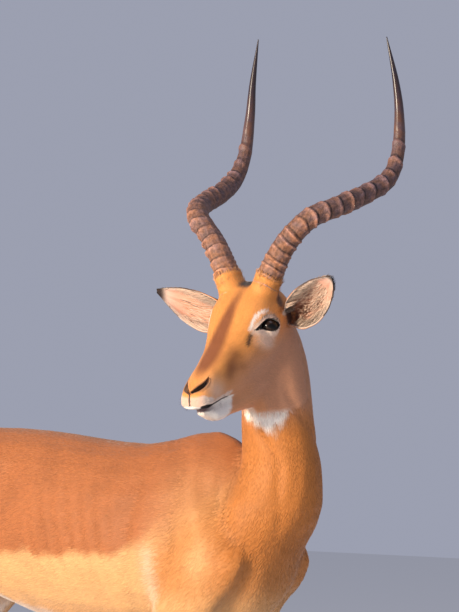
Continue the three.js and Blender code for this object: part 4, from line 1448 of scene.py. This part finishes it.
def coat_lie(h, b):
    """The way the hair lies: back and down on the body, down the neck and legs, up and back on the face."""
    x, y, z = b.T
    back, down = np.array([-1.0, 0, 0]), np.array([0, 0, -1.0])
    fall = 0.30 + 0.5 * ease(-380, -560, x) + 0.6 * ease(-60, 60, x) * ease(840, 700, z)
    way = back + down * fall[:, None]
    haunch = ease(-380, -520, x) * ease(790, 640, z)
    way = way + haunch[:, None] * (down * 0.9 - back * 0.45)
    limb = ease(600, 470, z)
    way = way + limb[:, None] * (down * 3 - back * 0.8)
    neck = ease(70, 150, x) * ease(700, 820, z)
    way = way + neck[:, None] * (down * 2.4 - back * 0.8)
    dock = ease(-700, -735, x) * (z < 800)
    way = way + dock[:, None] * (down * 3 - back)

    # the face: back along the bridge and the cheeks, away from the eyes and up the foot of each horn
    nose_back = -HEAD_AXES[0] * math.cos(FACE_SLOPE) + UP * math.sin(FACE_SLOPE)
    cheek = -HEAD_AXES[0] - UP * 0.35
    station, height = along_face(h)
    low = ease(16, -40, height)[:, None]
    face = nose_back * (1 - low) + cheek * low
    face = face + (HEAD_AXES[1] * (np.sign(h[:, 1]) * ease(4, 30, np.abs(h[:, 1])))[:, None]) * 0.25
    for side in (1, -1):
        q = in_eye(side, h)
        away = np.hypot(q[:, 0] - EYE_MIDDLE, q[:, 2])
        spread = q * [1, 0, 1] @ eye_axes(side)[1]
        spread = unit(spread) @ HEAD_AXES
        face = face + 1.2 * ((q[:, 1] > 0) * ease(44, 24, away))[:, None] * spread
        away, _ = off_line(h, mirrored(side, foot_line[:5]))
        climb = mirrored(side, foot_along[3]) @ HEAD_AXES
        face = unit(face) + (climb - unit(face)) * ease(34, 26, away)[:, None]
    way = way + (unit(face) - way) * on_head[:, None]

    # the ears: from root to tip
    for side in EAR_FORMS:
        _, along, _, _, rise = ear_axes(side)
        share, _, _ = in_ear(side, h)
        bend = along * EAR_LENGTH + (2 * rise * np.clip(share, 0, 1))[:, None] * UP
        mine = ear_part & (np.sign(h[:, 1]) == (1 if side == "left" else -1))
        way = np.where(mine[:, None], unit(bend) @ HEAD_AXES, way)
    return unit(way)


fur = painted_material(
    "fur", Roughness=0.56, Specular_IOR_Level=0.3, Sheen_Weight=0.15, Sheen_Roughness=0.5,
)
lie = coat_lie(h, b)
in_socket = np.zeros(len(h), bool)
for side in (1, -1):
    q = in_eye(side, h)
    in_socket |= (off_almond(q) < 1.2) & round_eye(q)
mouth, along = mouth_at(h)
in_mouth = (mouth < 1.8 * through(along, *MOUTH_HALF)) & (h[:, 0] > MOUTH_CORNER[0])
haired = ~(in_socket | in_mouth | (nostril_at(h) < 2.1))[skin_faces].any(1)


def faces_where(marked):
    """Faces with hair whose first corner is marked, so that each face falls in one region."""
    return marked[skin_faces[:, 0]] & haired


head_part = (on_head > 0.5) & ~ear_part
neck_part = ~head_part & ~ear_part & (b[:, 0] > 40) & (b[:, 2] > 760)
leg_part = (b[:, 2] < 520) & (b[:, 0] > -715)
tail_part = (b[:, 0] < -722) & (b[:, 2] < 775)
trunk_part = ~(head_part | neck_part | leg_part | tail_part | ear_part)
muzzle_part = head_part & (along_face(h)[0] > 150)
TUFTS = [
    # name; where; count; length, width, lift and keel in mm
    ("coat_back", trunk_part & (b[:, 0] < -220) & (b[:, 2] > 690), 28000, 15, 2.3, 1.5, 0.4),
    ("coat_rump", trunk_part & (b[:, 0] < -220) & (b[:, 2] <= 690), 24000, 14, 2.2, 1.5, 0.4),
    ("coat_shoulder", trunk_part & (b[:, 0] >= -220), 30000, 13, 2.0, 1.4, 0.4),
    ("coat_neck", neck_part, 32000, 10, 1.6, 0.8, 0.28),
    ("coat_face", head_part & ~muzzle_part, 32000, 6.0, 1.0, 0.7, 0.22),
    ("coat_muzzle", muzzle_part, 15000, 3.4, 0.65, 0.4, 0.14),
    ("coat_fore_legs", leg_part & (b[:, 0] > -200) & (b[:, 2] > 44), 18000, 8, 1.4, 0.8, 0.3),
    ("coat_hind_legs", leg_part & (b[:, 0] <= -200) & (b[:, 2] > 44), 22000, 8, 1.5, 0.8, 0.3),
    ("coat_ears", ear_part & ~cup_part, 8000, 6.5, 1.0, 0.6, 0.22),
]
for seed, (name, where, count, *sizes) in enumerate(TUFTS):
    length, width, lift, keel = (size / MM for size in sizes)
    tufts(name, faces_where(where), count, length, width, lift, keel, seed)

# ---- The long hair ----------------------------------------------------------------------------------------
# White locks across the cups of the ears and down the tail, black tufts over the glands of the hind
# cannons, lashes, whiskers, and rough hair that climbs the roots of the horns.
LOCK_STEPS = 5
LOCK_TONES = (0.88, 1.08)  # at the root and at the tip
EAR_LOCKS = 2200  # to an ear
EAR_LOCK = [(0, 22), (0.3, 27), (0.7, 17), (1, 8)]  # length from the root to the tip of the ear
EAR_WHITE = shade(230, 204, 182)
EAR_PINK = shade(206, 142, 110)
EAR_PINK_SHARE = {"left": 0.4, "right": 1}
TAIL_LOCKS = 3600
TAIL_LEAN = [(-784, -0.6), (-742, -0.35), (-660, -0.06), (-560, 0.03), (-470, 0.09)]  # minus the height, and the lean
GLAND_LOCKS = 1200
GLAND_HEIGHT = 150
LASHES = ((UPPER_LID, 1, 46), (LOWER_LID, -1, 22))  # lid, up or down, count
LASH_WIDTH = 0.0004
WHISKERS = 90
WHISKER_WIDTH = 0.00025
COLLAR_LOCKS = 600  # round a horn
COLLAR_TONE = shade(214, 146, 84)


def rooted(points):
    """The face of the skin nearest to each place, for a lock's patch on the unwrap."""
    face = np.array([skin_tree.find_nearest(p)[2] for p in points.tolist()])
    return face, np.full((len(points), 3), 1 / 3)


def locks(name, root, way, curl, length, width, lift, colour):
    """Long locks: each leaves its root along way and bends towards curl, and lies on the skin's normal."""
    count = len(root)
    face, share = rooted(root)
    normal = unit(at_roots(skin_normals, face, share))
    t = np.linspace(0, 1, LOCK_STEPS)
    bend = way[:, None] * t[None, :, None] + curl[:, None] * (t**2)[None, :, None]
    line = root[:, None] + length[:, None, None] * bend
    line = line + normal[:, None] * (lift * np.sin(t * math.pi * 0.6))[None, :, None]
    tone = colour[:, None] * np.linspace(*LOCK_TONES, LOCK_STEPS)[None, :, None]
    spot = (skin_uv[face] * share[..., None]).sum(1)
    normals = np.repeat(normal[:, None], LOCK_STEPS, axis=1)
    return leaves(name, line, normals, width, width * 0.3, tone, spot)


def ear_hair(name, side, count, seed):
    """Locks rooted along the rims and the ribs of a cup, lying across it and out towards the tip."""
    rng = np.random.default_rng(seed)
    share = rng.beta(1.5, 1.6, count) * 0.86 + 0.07
    wrap = through(share, *EAR_WRAP)
    rim = rng.uniform(0, 1, count) < 0.62
    at_rim = rng.choice([-1, 1], count) * rng.uniform(0.8, 0.97, count)
    spread = np.where(rim, at_rim, rng.uniform(-0.75, 0.75, count))
    reach = ear_radius(share) - ear_thick(share) + EAR_COAT
    root = ear_point(side, share, wrap * spread, reach)
    on = ear_point(side, share + 0.06, wrap * spread, reach)
    inward = ear_point(side, share, wrap * spread * 0.55, reach - 2.5)
    axis = unit(on - root)
    across = unit(inward - root)
    front = ear_axes(side)[3]
    way = axis + across * np.where(rim, 0.6, 0.1)[:, None] + front * 0.1
    way = unit(way + rng.normal(0, 0.08, (count, 3)))
    curl = axis * 0.25 - front * 0.05
    length = through(share, *EAR_LOCK) * rng.uniform(0.6, 1.1, count) / MM
    colour = EAR_WHITE * rng.uniform(0.8, 1.05, (count, 1))
    pink = rng.uniform(0, 1.3, count) * np.where(rim, 0.4, 1) * EAR_PINK_SHARE[side]
    dark = (share > 0.84) * 0.9 + (rng.uniform(0, 1, count) < 0.05) * 0.8
    colour = blend(colour, (EAR_PINK, pink), (DARK, dark))
    width = rng.uniform(0.7, 1.3, count) / MM
    locks(name, from_head(root), way @ HEAD_AXES, curl @ HEAD_AXES, length, width, 0.0, colour)


ear_hair("ear_hair_left", "left", EAR_LOCKS, 21)
ear_hair("ear_hair_right", "right", EAR_LOCKS, 22)

rng = np.random.default_rng(31)
face, share = scattered(faces_where(tail_part), TAIL_LOCKS, rng)
root = at_roots(skin_points, face, share)
height = in_body(root)[:, 2]
lean = np.interp(-height, *np.array(TAIL_LEAN).T)
way = unit(np.stack([lean, 0 * lean, -np.ones(TAIL_LOCKS)], 1) + rng.normal(0, 0.05, (TAIL_LOCKS, 3)))
length = rng.uniform(18, 34, TAIL_LOCKS) * ease(468, 500, height) / MM + 0.010
width = rng.uniform(1.9, 3.3, TAIL_LOCKS) / MM
tone = at_roots(marks, face, share) * rng.uniform(0.85, 1.1, (TAIL_LOCKS, 1))
locks("tail_hair", root, way, way * 0, length, width, 0.002, tone)

rng = np.random.default_rng(32)
gland = (b[:, 0] < -350) & (np.abs(b[:, 2] - GLAND_HEIGHT) < 26) & (skin_normals[:, 0] < 0.1)
face, share = scattered(faces_where(gland), GLAND_LOCKS, rng)
root, normal = at_roots(skin_points, face, share), at_roots(skin_normals, face, share)
way = unit(np.array([-0.12, 0, -1.0]) + normal * 0.16 + rng.normal(0, 0.06, (GLAND_LOCKS, 3)))
length = rng.uniform(14, 24, GLAND_LOCKS) / MM
width = rng.uniform(1.2, 2.2, GLAND_LOCKS) / MM
tone = BLACK * rng.uniform(0.9, 1.6, (GLAND_LOCKS, 1))
locks("gland_hair", root, way, way * 0, length, width, 0.0025, tone)

rng = np.random.default_rng(33)
places, ways, curls, longs = [], [], [], []
for side in (1, -1):
    axes = eye_axes(side)[1] @ HEAD_AXES
    for knots, sign, count in LASHES:
        x = rng.uniform(-13, 12, count)
        z = through(x, *knots) + 0.5 * sign
        out = np.sqrt(np.maximum((EYE_RADIUS + LID - 0.6) ** 2 - x**2 - z**2, 0))
        places.append(from_eye(side, np.stack([x, out, z], 1)))
        ways.append(unit(np.array([-0.25, 1, 0.25 * sign]) + rng.normal(0, 0.1, (count, 3))) @ axes)
        curls.append(all_over(np.array([-0.1, -0.05, 0.35 * sign]) @ axes, count))
        longs.append(rng.uniform(5, 8, count) * (1 if sign > 0 else 0.6))
root = np.concatenate(places)
length, width = np.concatenate(longs) / MM, np.full(len(root), LASH_WIDTH)
locks(
    "lashes", root, np.concatenate(ways), np.concatenate(curls), length, width, 0.0,
    all_over(BLACK, len(root)),
)

rng = np.random.default_rng(34)
whiskered = head_part & (h[:, 0] > 96) & (mouth < 13)
face, share = scattered(faces_where(whiskered), WHISKERS, rng)
root, normal = at_roots(skin_points, face, share), at_roots(skin_normals, face, share)
way = unit(normal + at_roots(lie, face, share) * 0.8)
length, width = rng.uniform(4, 9, WHISKERS) / MM, np.full(WHISKERS, WHISKER_WIDTH)
droop = all_over(np.array([0, 0, -0.25]), WHISKERS)
locks("whiskers", root, way, droop, length, width, 0.0, all_over(DARK, WHISKERS))

rng = np.random.default_rng(35)
horn_foot, horn_way, _ = horn_line(120)
roots, ways = [], []
for side in (1, -1):
    foot, foot_way = mirrored(side, horn_foot), mirrored(side, horn_way)
    near = np.min([np.linalg.norm(h - place, axis=1) for place in foot[2:12]], axis=0)
    climbed = (h - foot[0]) @ foot_way[6]
    collar = head_part & (near < HORN_RADIUS + 4) & (climbed > 13)
    face, share = scattered(faces_where(collar), COLLAR_LOCKS, rng)
    roots.append(at_roots(skin_points, face, share))
    ways.append(all_over(foot_way[8] @ HEAD_AXES, COLLAR_LOCKS))
root = np.concatenate(roots)
way = unit(np.concatenate(ways) + rng.normal(0, 0.2, (len(root), 3)))
tone = COLLAR_TONE * rng.uniform(0.75, 1.2, (len(root), 1))
length = rng.uniform(5, 11, len(root)) / MM
width = rng.uniform(0.7, 1.3, len(root)) / MM
locks("horn_collars", root, way, way * 0, length, width, 0.0004, tone)

# ---- The studio ---------------------------------------------------------------------------------------
# A plain pale floor under an even, slightly blue sky. A broad warm lamp stands low on the animal's face
# side, and a weak cool one above it.
FLOOR_HALF = 9
SKY = (0.72, 0.76, 0.95, 1)
SKY_STRENGTH = 0.46
LAMPS = [
    # name; right, back and up from the aim of the view; size; power; colour
    ("key", (-4.7, 3.9, 0.9), 1.2, 580, (1, 0.86, 0.68)),
    ("sky", (0.5, 1.5, 3.2), 1.6, 26, (0.72, 0.82, 1)),
]
floor_corners = [(x * FLOOR_HALF, y * FLOOR_HALF, 0) for x, y in ((-1, -1), (1, -1), (1, 1), (-1, 1))]
floor = in_scene("floor", make_mesh("floor", floor_corners, [(0, 1, 2, 3)]))
floor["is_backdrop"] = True
world = bpy.data.worlds.new("studio")
world.use_nodes = True
world.node_tree.nodes["Background"].inputs["Color"].default_value = SKY
world.node_tree.nodes["Background"].inputs["Strength"].default_value = SKY_STRENGTH
bpy.context.scene.world = world
for name, (right, back, up), size, power, colour in LAMPS:
    data = bpy.data.lights.new(name, "AREA")
    data.size, data.energy, data.color = size, power, colour
    place = view_aim + right * view_right + back * view_back + up * UP
    lamp = in_scene(name, data)
    lamp.location = place
    lamp.rotation_euler = Vector(view_aim - place).to_track_quat("-Z", "Y").to_euler()
bpy.context.scene.view_settings.view_transform = "Standard"

# ---- The sizes ------------------------------------------------------------------------------------------
# The box of the solids, taken before any piece was made, and the box of the dressed model, in metres.
sizes = {"cad": cad_box, "dressed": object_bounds()}
